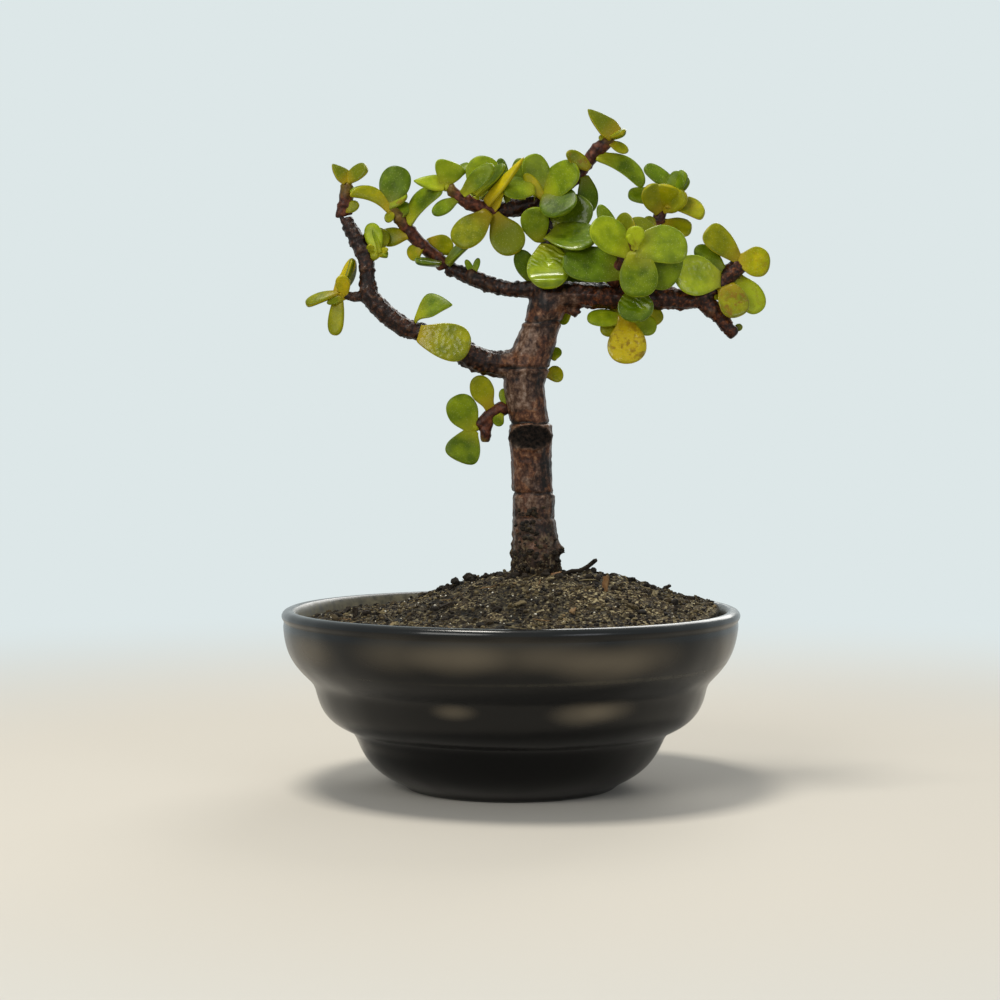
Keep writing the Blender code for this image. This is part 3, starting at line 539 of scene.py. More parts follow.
def make_chips():
    dice = random.Random(3)
    bm = layered("shade")
    layer = bm.verts.layers.float["shade"]
    for x, y, length, width, heading, lean, shade in CHIPS:
        lift = 0.35 * MM + 0.5 * length * math.sin(math.radians(lean)) * 0.8 * MM
        pose = (Matrix.Translation(on_soil(x, y) + Vector((0, 0, lift)))
                @ Matrix.Rotation(math.radians(heading), 4, "Z")
                @ Matrix.Rotation(math.radians(-lean), 4, "Y"))
        size = Matrix.Diagonal((length * MM, width * MM, CHIP_THICK * MM, 1.0))
        made = bmesh.ops.create_cube(bm, size=1.0, matrix=pose @ size)["verts"]
        edges = list({e for v in made for e in v.link_edges})
        made = bmesh.ops.subdivide_edges(bm, edges=edges, cuts=3, use_grid_fill=True)
        faces = [part for part in made["geom"] if isinstance(part, bmesh.types.BMFace)]
        for vert in dict.fromkeys(v for face in faces for v in face.verts):
            spot = vert.co / MM
            vert.co += Vector((noise.noise(spot * 1.7), noise.noise(spot * 1.7 + spot),
                               noise.noise(spot * 2.1))) * 0.35 * MM
            vert[layer] = shade + dice.uniform(-0.03, 0.03)
    return bm


TWIG_RADII = (0.3, 0.5, 0.46, 0.5, 0.56, 0.3)
TWIG_SHADE = 0.22


def make_twig():
    low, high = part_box("soil_twig")
    middle = (low.y + high.y) / 2
    path = [Vector((low.x + ahead * MM, middle + aside * MM, low.z + rise * MM))
            for ahead, aside, rise in ((-1.0, 0.4, -0.2), (1.6, 0.2, 0.6), (3.6, 0.0, 0.75),
                                       (5.4, -0.1, 1.7))]
    path += [Vector((high.x - 0.6 * MM, middle - 0.3 * MM, high.z - 0.55 * MM)),
             Vector((high.x, middle - 0.35 * MM, high.z - 0.2 * MM))]
    bm = layered("shade")
    layer = bm.verts.layers.float["shade"]
    tube(bm, path, [r * MM for r in TWIG_RADII], 10)
    bmesh.ops.subdivide_edges(bm, edges=bm.edges, cuts=1, use_grid_fill=True)
    for vert in bm.verts:
        vert.co += vert.normal * noise.noise(vert.co / MM * 1.6) * 0.14 * MM
        vert[layer] = TWIG_SHADE + 0.12 * noise.noise(vert.co / MM)
    return bm


place("bark_chips", make_chips(), GRIT, "dry_wood", smooth=False)
place("dry_twig", make_twig(), GRIT, "dry_wood", "soil_twig")

# ---------------------------------------------------------------- trunk and branches
# The old wood: a soft trunk under thin, waxy, ringed bark, with a grey sheen painted on its front
# as pale patches, painted highlights on the crests of its relief and painted shade in its
# wrinkles.
# Raised rings mark the old leaf nodes, a healed cut makes a black oval on the front, splashed soil
# darkens the foot, and the branches are rough and nearly black, partly as painted shade.
BARK_VOXEL = 0.4
TRUNK_RINGS = ((70.4, 0.55), (87.2, 0.75), (100.2, 0.6), (111.2, 0.75), (64.4, 0.25),
               (78.4, 0.15))
SCAR_CENTRE = (4.7, 83.9)          # the healed cut, X and height
SCAR_SIZE = (5.0, 3.0)
# The middle line of each old branch, in mm, along which its wrinkles follow each other
BRANCH_LINES = [
    [(3.5, 0, 101), (-5, -0.6, 101.4), (-9.5, -1, 103), (-15, -1.5, 106), (-21.5, -2, 108.8),
     (-25.5, -2, 110), (-30, -1.5, 113.4), (-33.5, -1, 117.3), (-34.2, -0.5, 121),
     (-34.4, 0, 125), (-35.4, 0.8, 128), (-37.1, 1.6, 131.4), (-38.6, 2.3, 134.2),
     (-39.5, 2.8, 137)],
    [(8, 0.3, 118.8), (0, 1, 119.1), (-5, 2, 120.2), (-10, 3.3, 122.4), (-16, 5, 125)],
    [(9.3, 0.5, 118), (9.6, 2, 124), (9.6, 3, 131), (8.6, 3.5, 137), (9.7, 4, 142.4)],
    [(8.3, 3.6, 138), (5, 3.8, 139.4), (0, 3, 138.4), (-3.6, 2.3, 137.6)],
    [(9, 0, 117.3), (14, -1.5, 117.6), (21, -3, 117.4), (28, -3, 116.9), (36, -2, 117),
     (43, -1, 116.6), (47, 0, 117.8), (50, 0.5, 120.3), (54.4, 1, 124.6)],
    [(45.5, -0.5, 116.2), (48.5, -0.5, 113.8), (53.4, -0.5, 108)]]
WRINKLE_SPACING = 1.5              # between two wrinkles across a branch
WOOD_BURIED = 44.0                 # the bark below this height is under the soil
TRUNK_HALF = 7.8                   # half the width within which bark counts as the trunk's
TRUNK_TOP = 118.5
TRUNK_LINE = ((6.2, 50.0), (3.4, 97.0), (9.3, 118.0))   # X and height: foot, bend and fork
SPLASHED_TO, CAKED_TO = 61.0, 66.0  # heights up to which soil clings, all round and in cakes
# Knuckles where leaves fell from the ends of the right branch: middle, reach and height, in mm
KNUCKLES = [((54.0, 0.9, 124.2), 3.2, 0.8), ((50.4, 0.6, 120.6), 2.6, 0.4),
            ((53.2, -0.5, 108.4), 2.6, 0.5), ((48.0, -0.5, 114.4), 2.4, 0.4)]
# Patches on the front of the trunk: X and height, half the width and height, how much paler (or,
# below 0, darker) the bark is there, and how tan.  The tan is the bark's own colour; the pale
# patches are partly a painted grey sheen, and the dark ones, under the fork and down the right
# side, partly painted shade
TRUNK_PATCHES = [(6.2, 115.2, 3.8, 2.8, -0.9, 0.0), (11.2, 112.6, 1.9, 2.8, 0.4, 0.9),
                 (3.0, 105.4, 1.4, 4.2, 0.25, 0.0), (8.6, 105.5, 2.2, 4.4, -0.6, 0.0),
                 (2.7, 95.7, 1.0, 4.4, 0.7, 0.0), (7.0, 94.6, 2.6, 5.4, -0.6, 0.0),
                 (4.4, 88.9, 4.6, 1.2, 0.3, 0.9), (4.0, 78.6, 4.2, 1.5, -0.6, 0.5),
                 (4.6, 75.6, 1.2, 1.4, 0.6, 1.0), (2.2, 74.0, 1.6, 2.6, 0.45, 0.3),
                 (8.9, 76.0, 1.7, 6.0, -0.7, 0.0), (3.6, 67.6, 2.8, 2.0, 0.5, 0.1),
                 (4.5, 61.7, 4.5, 2.4, -0.6, 0.0), (8.4, 55.2, 2.2, 1.6, 0.4, 0.1)]
# Splashes of soil: X and height of each, how far it spreads either way, and its crumbs
STUCK_SOIL = [(13.0, 55.5, 0.7, 2.0, 90), (4.4, 64.5, 1.4, 1.2, 60), (3.6, 60.8, 1.6, 1.6, 50),
              (6.5, 55.0, 3.6, 1.8, 110), (0.6, 53.5, 1.2, 1.4, 30)]


def branch_ruler():
    """A finder of the nearest place on the branch lines, and each place's length along them."""
    spots, lengths = [], []
    for number, line in enumerate(BRANCH_LINES):
        along = 100.0 * number
        for start, end in zip(line, line[1:]):
            start, end = Vector(start), Vector(end)
            steps = max(1, int((end - start).length / 0.4))
            for i in range(steps):
                spots.append(start.lerp(end, i / steps))
                lengths.append(along + (end - start).length * i / steps)
            along += (end - start).length
    finder = kdtree.KDTree(len(spots))
    for i, spot in enumerate(spots):
        finder.insert(spot, i)
    finder.balance()
    return finder, lengths


RULER, RULER_LENGTHS = branch_ruler()


def trunk_middle(height):
    """X of the trunk's middle at a height, in mm."""
    foot, bend, fork = [Vector(spot) for spot in TRUNK_LINE]
    start, end = (foot, bend) if height < bend.y else (bend, fork)
    return start.lerp(end, (height - start.y) / (end.y - start.y)).x


def branch_relief(spot):
    """Wrinkles across an old branch and the knobs of its leaf scars, in mm."""
    index = RULER.find(spot)[1]
    along = RULER_LENGTHS[index]
    crest = 1.0 - abs(noise.noise(Vector((along / WRINKLE_SPACING, 0.0, 0.0))) * 2.2)
    around = 0.6 + 0.7 * noise.noise(spot / 1.7)
    knots = max(0.0, 1.0 - 1.9 * noise.voronoi(spot / 2.4)[0][0])
    rough = noise.fractal(spot / 1.1, 0.9, 2.1, 3)
    return 0.42 * limit(crest) ** 3 * around + 0.5 * knots ** 1.3 + 0.15 * rough - 0.12


def trunk_relief(spot, normal):
    """Rings, the healed cut and fine grooves on the trunk, in mm, and the cut's share there."""
    groove = noise.fractal(Vector((spot.x * 0.8, spot.y * 0.8, spot.z * 0.22)), 1.0, 2.1, 3)
    lump = noise.fractal(spot / 3.2, 1.0, 2.0, 3)
    relief = 0.1 * groove + 0.18 * lump
    wander = 0.45 * noise.noise(Vector((spot.x, spot.y, 0.0)) / 4.0)
    for height, depth in TRUNK_RINGS:
        off = spot.z - height - wander
        if abs(off) < 3.0:
            broken = 0.75 + 0.5 * noise.noise(spot / 2.0)
            relief += depth * broken * (0.5 * math.exp(-((off + 0.75) / 0.5) ** 2)
                                        - 1.0 * math.exp(-(off / 0.26) ** 2))
    scar = 0.0
    if normal.y < -0.1:
        across = (spot.x - SCAR_CENTRE[0]) / SCAR_SIZE[0]
        upward = (spot.z - SCAR_CENTRE[1]) / SCAR_SIZE[1]
        away = math.hypot(across, upward * (1.0 if upward < 0 else 1.05))
        away += 0.1 * noise.noise(spot / 1.1)
        scar = limit((1.08 - away) * 6.0)
        relief += 0.3 * math.exp(-((away - 1.0) / 0.13) ** 2) - 0.55 * limit(0.95 - away)
        relief += 0.26 * math.sin(away * 15.0 + 2.5 * noise.noise(spot / 1.3)) * scar
    return relief, scar


def trunk_patches(spot, normal):
    """How much paler (below 0, darker) and how much more tan the bark is at a place on the trunk's
    front; the pale and dark parts are partly painted sheen and painted shade.
    """
    paler, tan = 0.0, 0.0
    ragged = 0.35 * noise.noise(spot / 1.6)
    for x, z, half_wide, half_high, pale_share, tan_share in TRUNK_PATCHES:
        away = math.hypot((spot.x - x) / half_wide, (spot.z - z) / half_high) + ragged
        share = limit((1.25 - away) * 2.2) * limit(-2.5 * normal.y)
        paler += pale_share * share
        tan = max(tan, tan_share * share)
    return paler, tan


def make_wood():
    bm = remeshed(copied("trunk"), BARK_VOXEL)
    bm.normal_update()
    high_layer, scar_layer, old_layer, soil_layer, node_layer, pale_layer, tan_layer = [
        bm.verts.layers.float.new(name)
        for name in ("raised", "scar", "old", "soiled", "node", "paler", "tan")]
    for vert in bm.verts:
        spot = vert.co / MM
        if spot.z < WOOD_BURIED:
            continue
        near_trunk = limit((TRUNK_HALF - abs(spot.x - trunk_middle(spot.z))) / 1.6)
        old = 1.0 - near_trunk * limit((TRUNK_TOP - spot.z) / 3.0)
        vert[pale_layer], vert[tan_layer] = trunk_patches(spot, vert.normal)
        smooth_relief, scar = trunk_relief(spot, vert.normal)
        relief = smooth_relief * (1 - old) + branch_relief(spot) * old
        soil = limit((SPLASHED_TO - spot.z) / 8.0 + 0.7 * noise.noise(spot / 2.4)) * (1 - old)
        lumps = max(0.0, 1.0 - 1.5 * noise.voronoi(spot / 1.5)[0][0])
        caked = limit((CAKED_TO - spot.z) / 9.0) * limit(1.6 * noise.noise(spot / 4.5) + 0.6)
        relief += (0.45 * lumps * soil + 0.5 * lumps * caked) * (1 - old)
        knuckle = sum(height * limit(1.4 - (spot - Vector(middle)).length / wide)
                      for middle, wide, height in KNUCKLES)
        vert.co += vert.normal * (relief + knuckle) * MM
        # The relief's height, from which the bark paints shade into hollows and highlights onto
        # crests
        vert[high_layer] = limit(0.5 + relief * 1.1)
        vert[scar_layer] = scar
        vert[old_layer] = old
        vert[node_layer] = max(math.exp(-((spot.z - height - 1.6) / 2.0) ** 2)
                               for height, _ in TRUNK_RINGS)
        vert[soil_layer] = max(soil, caked * limit(lumps * 2.5) * (1 - old))
    return bm


def jade_bark():
    """Thin waxy bark: dark brown with tan patches and a partly painted grey sheen, painted shade
    in its hollows and painted highlights on its crests; near black when old, partly as painted
    shade.
    """
    made, put, shader, coords = finish("jade_bark", IOR=1.45, Metallic=0.0,
                                        Specular_IOR_Level=0.22)
    raised, scar, old, soiled, node, paler, tanned = [
        put("Attribute", out="Fac", attribute_name=name)
        for name in ("raised", "scar", "old", "soiled", "node", "paler", "tan")]
    # Weathered streaks run up the stem, about 1.2 mm wide and 2 mm long
    upright = put("Mapping", coords, Scale=(1.0, 1.0, 0.7))
    streak = put("TexNoise", upright, Scale=repeat(1.2), Detail=4.0, Roughness=0.6)
    fleck = put("TexNoise", coords, Scale=repeat(0.9), Detail=6.0, Roughness=0.7)
    patch = put("TexNoise", coords, Scale=repeat(5.0), Detail=3.0)
    blend = put("Mix", 0.5, streak, fleck, data_type="FLOAT")
    broad = put("Math", patch, 0.55, blend, operation="MULTIPLY_ADD")
    # Pale and dark patches on the front: partly a painted grey sheen and painted shade
    patched = put("Math", paler, 0.11, broad, operation="MULTIPLY_ADD")
    trunk = put("ValToRGB", patched,
                stops=[(0.63, "#0d0603"), (0.7, "#2a170e"), (0.77, "#493325"),
                       (0.86, "#6a5445"), (0.98, "#948478")])
    tan = put("ValToRGB", blend,
              stops=[(0.38, "#1c0b05"), (0.49, "#472715"), (0.58, "#70492d"), (0.7, "#a5835f")])
    near_node = put("Math", node, 0.14, patch, operation="MULTIPLY_ADD")
    more_tan = put("Math", tanned, 0.17, near_node, operation="MULTIPLY_ADD")
    where = put("MapRange", more_tan, 0.58, 0.64, 0.0, 0.9)
    mixed = put("Mix", where, trunk, tan, data_type="RGBA")
    # Old branches are near black: partly their dark bark, partly painted shade from the crown
    # above
    branch = put("ValToRGB", fleck,
                 stops=[(0.4, "#090302"), (0.52, "#210f07"), (0.6, "#3b2011"), (0.72, "#66432c")])
    # The right branch is younger and redder
    rust = put("ValToRGB", fleck,
               stops=[(0.38, "#0b0301"), (0.5, "#2b1208"), (0.58, "#4c2611"), (0.72, "#7a4b2b")])
    parts = put("SeparateXYZ", coords)
    to_right = put("MapRange", parts, 12 * MM, 16 * MM)
    branches = put("Mix", to_right, branch, rust, data_type="RGBA")
    by_age = put("Mix", old, mixed, branches, data_type="RGBA")
    # Painted shade: the colour is darkened to near black where the relief lies low
    deep = put("MapRange", raised, 0.46, 0.12, 0.0, 0.95)
    hollow_painted_shade = put("Mix", deep, by_age, "#0b0604", data_type="RGBA")
    # Painted highlight: the crests of the relief are lightened to tan
    crest = put("MapRange", raised, 0.68, 0.95, 0.0, 0.22)
    crest_painted_highlight = put("Mix", crest, hollow_painted_shade, "#7d5a3d", data_type="RGBA")
    char = put("ValToRGB", fleck, stops=[(0.42, "#040302"), (0.62, "#271e18")])
    healed = put("Mix", scar, crest_painted_highlight, char, data_type="RGBA")
    grit = put("TexVoronoi", coords, out="Color", Scale=repeat(0.5))
    shade = put("SeparateColor", grit)
    dirt = put("ValToRGB", shade, stops=[(0.0, "#0a0705"), (0.6, "#211910"), (0.95, "#6f634a")])
    caked = put("Math", soiled, 0.9, operation="MULTIPLY")
    colour = put("Mix", caked, healed, dirt, data_type="RGBA")
    shine = put("MapRange", blend, 0.4, 0.6, 0.55, 0.28)
    dull = put("Math", soiled, shine, operation="MAXIMUM")
    duller = put("Math", scar, dull, operation="MAXIMUM")
    bump = put("Bump", Strength=0.7, Distance=0.25 * MM, Height=blend)
    feed(shader, Base_Color=colour, Roughness=duller, Normal=bump)
    return made


def make_stuck_soil():
    """Wet mix splashed on the trunk's foot: a ragged lump on the right and crumbs up the front."""
    dice = random.Random(31)
    bm = layered("shade")
    for middle_x, height, spread_x, spread_z, count in STUCK_SOIL:
        batch = layered("shade")
        for _ in range(count):
            x, z = dice.gauss(middle_x, spread_x), dice.gauss(height, spread_z)
            spot = wood_surface.find_nearest(Vector((x, -9.0 + 0.6 * abs(x - 6.0), z)) * MM)[0]
            size = 0.5 + 1.1 * dice.random() ** 2
            bit(batch, spot, size, 1, dice, dice.uniform(0.0, 0.45))
        join(bm, batch)
    return bm


old_wood = make_wood()
wood_surface = BVHTree.FromBMesh(old_wood)
place("trunk_and_branches", old_wood, jade_bark(), "bark", "trunk")
place("stuck_soil", make_stuck_soil(), GRIT, "soil", smooth=False)

# ---------------------------------------------------------------- young shoots
# This and last year's stems: smooth, wine red to brown, swollen at each pair of leaves and
# turning olive towards the tip.  Each grows out of a branch, so its foot runs into the wood.
SHOOT_VOXEL = 0.26
SHOOT_FLARE = 3.2                  # length of the foot that runs into the branch
NODE_SPACING = 4.4                 # between two pairs of leaves
NODE_WIDTH, NODE_HEIGHT = 0.45, 0.26
SHOOT_SKIN = 0.28                  # how much thicker than the solid a shoot is
# How much of each shoot's tip is still green
SHOOTS = {"shoot_far_left": 0.55, "shoot_upper_left": 0.3, "shoot_crown_left": 0.2,
          "shoot_apex": 0.12, "shoot_right": 0.15, "shoot_rosette": 0.3, "shoot_low_left": 0.15}


def root_shoot(bm):
    """Draw the end of a shoot that lies nearest to the old wood out and into it."""
    gap, foot, goal = 1e9, None, None
    for vert in bm.verts:
        near, _, _, distance = wood_surface.find_nearest(vert.co)
        if distance < gap:
            gap, foot, goal = distance, vert.co.copy(), near
    pull = (goal - foot) + (goal - foot).normalized() * 1.0 * MM
    for vert in bm.verts:
        share = max(0.0, 1.0 - (vert.co - foot).length / (SHOOT_FLARE * MM))
        vert.co += pull * share * share * (3 - 2 * share)
    return foot


def make_shoot(name):
    bm = remeshed(copied(name), SHOOT_VOXEL)
    bmesh.ops.smooth_vert(bm, verts=bm.verts, factor=0.5, use_axis_x=True, use_axis_y=True,
                          use_axis_z=True)
    foot = root_shoot(bm)
    bm.normal_update()
    length = max((v.co - foot).length for v in bm.verts)
    along_layer = bm.verts.layers.float.new("along")
    for vert in bm.verts:
        away = (vert.co - foot).length / MM
        ring = math.exp(-((away % NODE_SPACING - NODE_SPACING / 2) / NODE_WIDTH) ** 2)
        spot = vert.co / MM
        rough = 0.07 * noise.fractal(spot / 1.4, 1.0, 2.0, 3)
        relief = NODE_HEIGHT * ring + rough + SHOOT_SKIN
        vert.co += vert.normal * relief * MM
        vert[along_layer] = away * MM / length
    return bm


def young_bark(name, green_share):
    """Thin young bark, wine red and slightly glossy, still green at the tip."""
    made, put, shader, coords = finish("young_bark_" + name, IOR=1.42, Metallic=0.0,
                                        Specular_IOR_Level=0.25)
    along = put("Attribute", out="Fac", attribute_name="along")
    fleck = put("TexNoise", coords, Scale=repeat(1.3), Detail=5.0, Roughness=0.6)
    red = put("ValToRGB", fleck, stops=[(0.34, "#180804"), (0.5, "#3e1c0f"), (0.68, "#6d3e28")])
    green = put("ValToRGB", fleck, stops=[(0.3, "#5a3c12"), (0.7, "#7a741d")])
    where = put("MapRange", along, 1.0 - green_share, 1.08)
    colour = put("Mix", where, red, green, data_type="RGBA")
    rough = put("MapRange", fleck, 0.0, 1.0, 0.32, 0.6)
    bump = put("Bump", Strength=0.5, Distance=0.12 * MM, Height=fleck)
    feed(shader, Base_Color=colour, Roughness=rough, Normal=bump)
    return made


all_wood = copied("trunk")
for shoot, green_share in SHOOTS.items():
    stem = make_shoot(shoot)
    join(all_wood, stem.copy())
    name = shoot.replace("shoot_", "")
    place("stem_" + name, stem, young_bark(name, green_share), "young_stem", shoot)
stems = BVHTree.FromBMesh(all_wood)
all_wood.free()

# ---------------------------------------------------------------- leaves
# Fleshy, water-filled leaves in pairs, each narrowing to a short neck on the stem: bright green
# with a paler rim where light comes through, and yellow to olive where the plant was kept dry
# and sunny.  The skin is waxy, and a few leaves are still wet, with drops or puckers on them.
LEAF_VALUES = ("along", "rim", "tint", "wet", "marked")
LEAF_THICK = 1.75
LEAF_AROUND = 22                   # faces round a leaf, and from its root to its tip
LEAF_ALONG = 14
NECK_WIDTH = 1.2
LIP_AT, LIP_WIDTH = 0.88, 0.04     # the ridge near the tip, as shares of the blade
ROOT_DEPTH = 0.7                   # how far a leaf's neck enters the stem
# Outline: place of the widest part, width at the base, bluntness of the tip, straightness
OUTLINES = {"round": (0.55, 0.4, 2.3, 0.75), "oval": (0.52, 0.46, 2.1, 0.8),
            "spoon": (0.64, 0.46, 2.4, 0.9), "fan": (0.72, 0.38, 2.8, 0.95),
            "cup": (0.5, 0.62, 2.5, 0.8), "horn": (0.24, 0.85, 1.3, 0.7),
            "kite": (0.45, 0.26, 1.25, 0.8)}


def leaf_axes(node, grow):
    """Foot, tip, width and upper side of a single leaf, measured on its CAD solid."""
    bm = copied(node)
    grow = Vector(grow).normalized()
    spots = [v.co.copy() for v in bm.verts]
    bm.free()
    foot = min(spots, key=lambda p: p.dot(grow))
    tip = max(spots, key=lambda p: p.dot(grow))
    middle = sum(spots, Vector()) / len(spots)
    along = (tip - foot).normalized()
    best, upper = 1e9, None
    start = along.orthogonal().normalized()
    for i in range(36):
        trial = Matrix.Rotation(math.pi * i / 36, 3, along) @ start
        reach_out = max(abs((p - middle).dot(trial)) for p in spots)
        if reach_out < best:
            best, upper = reach_out, trial
    side = along.cross(upper)
    width = 2 * max(abs((p - middle).dot(side)) for p in spots)
    if upper.dot(Vector((0.0, -1.0, 0.6))) < 0:
        upper = -upper
    return foot, tip, width, upper


def grow_leaf(bm, foot, tip, width, upper, outline="round", arch=0.0, fold=0.1, bow=0.0,
              lip=0.0, tint=0.0, wet=0.0, marked=0.0, root=None, thick=LEAF_THICK):
    """One fleshy leaf, from its root on the stem through its foot to its tip, in metres.

    arch lifts the middle and bow swings it to the left, as shares of the length, fold raises
    the edges as a share of the width, and lip is the height in mm of a ridge near the tip."""
    widest, base, blunt, straight = OUTLINES[outline]
    root = root or foot
    neck = (foot - root).length
    blade = (tip - foot).length
    neck_share = neck / (neck + blade)
    along = (tip - foot).normalized()
    upper = Vector(upper)
    upper = (upper - along * upper.dot(along)).normalized()
    side = along.cross(upper)
    layers = [bm.verts.layers.float[value] for value in LEAF_VALUES]
    made = bmesh.ops.create_uvsphere(bm, u_segments=LEAF_AROUND, v_segments=LEAF_ALONG,
                                     radius=1.0)["verts"]
    half_neck = min(max(base, NECK_WIDTH * MM / width), 1.0)

    def middle(share):
        if share < neck_share:
            return root.lerp(foot, share / neck_share)
        return foot.lerp(tip, (share - neck_share) / (1 - neck_share))

    for vert in made:
        share = (vert.co.z + 1) / 2
        ring = math.hypot(vert.co.x, vert.co.y)
        angle = math.atan2(vert.co.y, vert.co.x)
        s = max(0.0, (share - neck_share) / (1 - neck_share))
        if s < widest:
            out = half_neck + (1 - half_neck) * math.sin(s / widest * math.pi / 2) ** (
                1.0 / straight)
        else:
            out = max(0.0, 1 - ((s - widest) / (1 - widest)) ** blunt) ** (1 / blunt)
        if ring < 1e-6:             # the two ends
            out = 0.0
        body = thick / 2 * min(1.0, out / 0.6) ** 0.7 * MM
        cross, lift = math.cos(angle), math.sin(angle)
        cross = math.copysign(abs(cross) ** 0.85, cross)
        lift = math.copysign(abs(lift) ** 1.05, lift) * (0.8 if lift > 0 else 1.15)
        wave = 1.0 + 0.05 * noise.noise(foot / MM + Vector((s * 2.5, cross, 0.0)))
        around = side * cross * out * width / 2 * wave
        around -= side * bow * blade * 4 * s * (1 - s)
        height = lift * body + arch * blade * 4 * s * (1 - s)
        height += fold * width * abs(cross) ** 2 * out * (1.2 - s)
        if lift > 0:
            height += lip * math.exp(-((s - LIP_AT) / LIP_WIDTH) ** 2) * MM
        centre = (middle(max(0.0, share - 0.05)) + middle(share) * 2
                  + middle(min(1.0, share + 0.05))) / 4 if 0 < share < 0.9 else middle(share)
        vert.co = centre + around + upper * height
        rim = max(abs(cross) ** 4, min(1.0, max(0.0, (s - 0.78) / 0.22)) ** 2)
        for layer, value in zip(layers, (s, rim, tint, wet, marked)):
            vert[layer] = value


def leaf_skin(name, body, deep, lit, blush, coat):
    """Waxy leaf over wet tissue: light glows through it, and a thin pale line runs round it."""
    made, put, shader, coords = finish(
        name, IOR=1.4, Metallic=0.0, Specular_IOR_Level=0.16, Subsurface_Weight=0.2,
        Subsurface_Radius=(0.7, 1.0, 0.1), Subsurface_Scale=1.2 * MM, Coat_Weight=coat,
        Coat_Roughness=0.08, Coat_IOR=1.33)
    along, edge, tint, wet, marked = [
        put("Attribute", out="Fac", attribute_name=value) for value in LEAF_VALUES]
    cloud = put("TexNoise", coords, Scale=repeat(3.0), Detail=4.0)
    soft_cloud = put("MapRange", cloud, 0.3, 0.7, 0.3, 0.68)
    shift = put("Math", tint, 0.5, soft_cloud, operation="MULTIPLY_ADD")
    flesh = put("ValToRGB", shift, stops=[(0.1, deep), (0.5, body), (0.9, lit)])
    # Old, orange leaves and bruised ones are mottled brown
    blotch = put("TexNoise", coords, Scale=repeat(1.6), Detail=5.0, Roughness=0.65)
    spread = put("MapRange", blotch, 0.5, 0.62)
    aged = put("MapRange", tint, 0.45, 1.0, 0.0, 0.75)
    spoilt = put("Math", marked, aged, operation="MAXIMUM")
    mottle = put("Math", spread, spoilt, operation="MULTIPLY")
    mottled = put("Mix", mottle, flesh, "#765410", data_type="RGBA")
    # Painted shade darkens the flesh just inside the rim, where the rounded edge turns from the
    # light, and the rim itself is a thin pale line
    rim_painted_shade = put("MapRange", edge, 0.25, 0.7, 0.0, 0.35)
    banded = put("Mix", rim_painted_shade, mottled, deep, data_type="RGBA")
    line = put("MapRange", edge, 0.8, 0.95, 0.0, 0.4)
    rimmed = put("Mix", line, banded, lit, data_type="RGBA")
    base = put("MapRange", along, 0.42, 0.0, 0.0, 0.75)
    footed = put("Mix", base, rimmed, blush, data_type="RGBA")
    # Pale dots of wax about 0.5 mm apart
    dots = put("TexVoronoi", coords, Scale=repeat(0.5))
    pale = put("MapRange", dots, 0.3, 0.1, 0.0, 0.17)
    dotted = put("Mix", pale, footed, "#c2c682", data_type="RGBA")
    # Drops about 1 mm across and, on the wettest leaves, crossing folds as far apart
    drops = put("TexVoronoi", coords, Scale=repeat(1.1), feature="SMOOTH_F1")
    dome = put("MapRange", drops, 0.5, 0.1)
    folds = put("TexWave", coords, out="Fac", Scale=repeat(3.4), Distortion=6.0, Detail=1.5,
                Detail_Scale=1.3, bands_direction="DIAGONAL")
    upper_folds = put("MapRange", along, 0.62, 0.48, 0.0, 2.2)
    high_folds = put("Math", folds, upper_folds, operation="MULTIPLY")
    soft = put("TexNoise", coords, Scale=repeat(1.8), Detail=3.0)
    wetter = put("MapRange", wet, 0.1, 0.5)
    wettest = put("MapRange", wet, 0.6, 1.0)
    dripping = put("Mix", wetter, soft, dome, data_type="FLOAT")
    wrinkle = put("Mix", wettest, dripping, high_folds, data_type="FLOAT")
    bump = put("Bump", Strength=0.6, Distance=0.16 * MM, Height=wrinkle)
    rough = put("MapRange", wet, 0.0, 1.0, 0.34, 0.18)
    feed(shader, Base_Color=dotted, Roughness=rough, Normal=bump, Coat_Normal=bump)
    return made


WET_COAT = 0.35
# Body, shaded, lit and base colours of each kind of leaf
TONES = {"leaf_green": ("#78890f", "#4a5d06", "#a3b01c", "#8f8f1d"),
         "leaf_yellow": ("#8a8a08", "#5c6404", "#b9a510", "#917c17"),
         "leaf_dark": ("#546a08", "#304303", "#809216", "#6c7019")}
SKINS = {(slot, coat): leaf_skin(f"jade_{slot}_{'wet' if coat else 'waxy'}", *tones, coat)
         for slot, tones in TONES.items() for coat in (0.0, WET_COAT)}
TONE_OF = {row["node"]: row["material_slot"] for row in frame["record"]["subparts"]}
# Leaves that are fresher than the rest of their kind
FRESH_LEAVES = ("leaves_crown_left_tip", "leaves_branch_bud", "leaf_centre_front",
                "leaf_end_wet")


def leaf_piece(name, bm, slot, *nodes, coat=0.0):
    """Finish leaves as a piece, rounded by one level of subdivision."""
    bmesh.ops.recalc_face_normals(bm, faces=bm.faces)
    tone = "leaf_green" if set(nodes) & set(FRESH_LEAVES) else slot
    piece = place(name, bm, SKINS[tone, coat], slot, *nodes)
    rounding = piece.modifiers.new("rounding", "SUBSURF")
    rounding.levels = 1
    rounding.render_levels = 1
    return piece


def rooted(foot, limit_mm=5.0):
    """Where a leaf's neck enters the stem nearest to its foot."""
    near, _, _, distance = stems.find_nearest(foot)
    if distance > limit_mm * MM:
        return None
    return near + (near - foot).normalized() * ROOT_DEPTH * MM


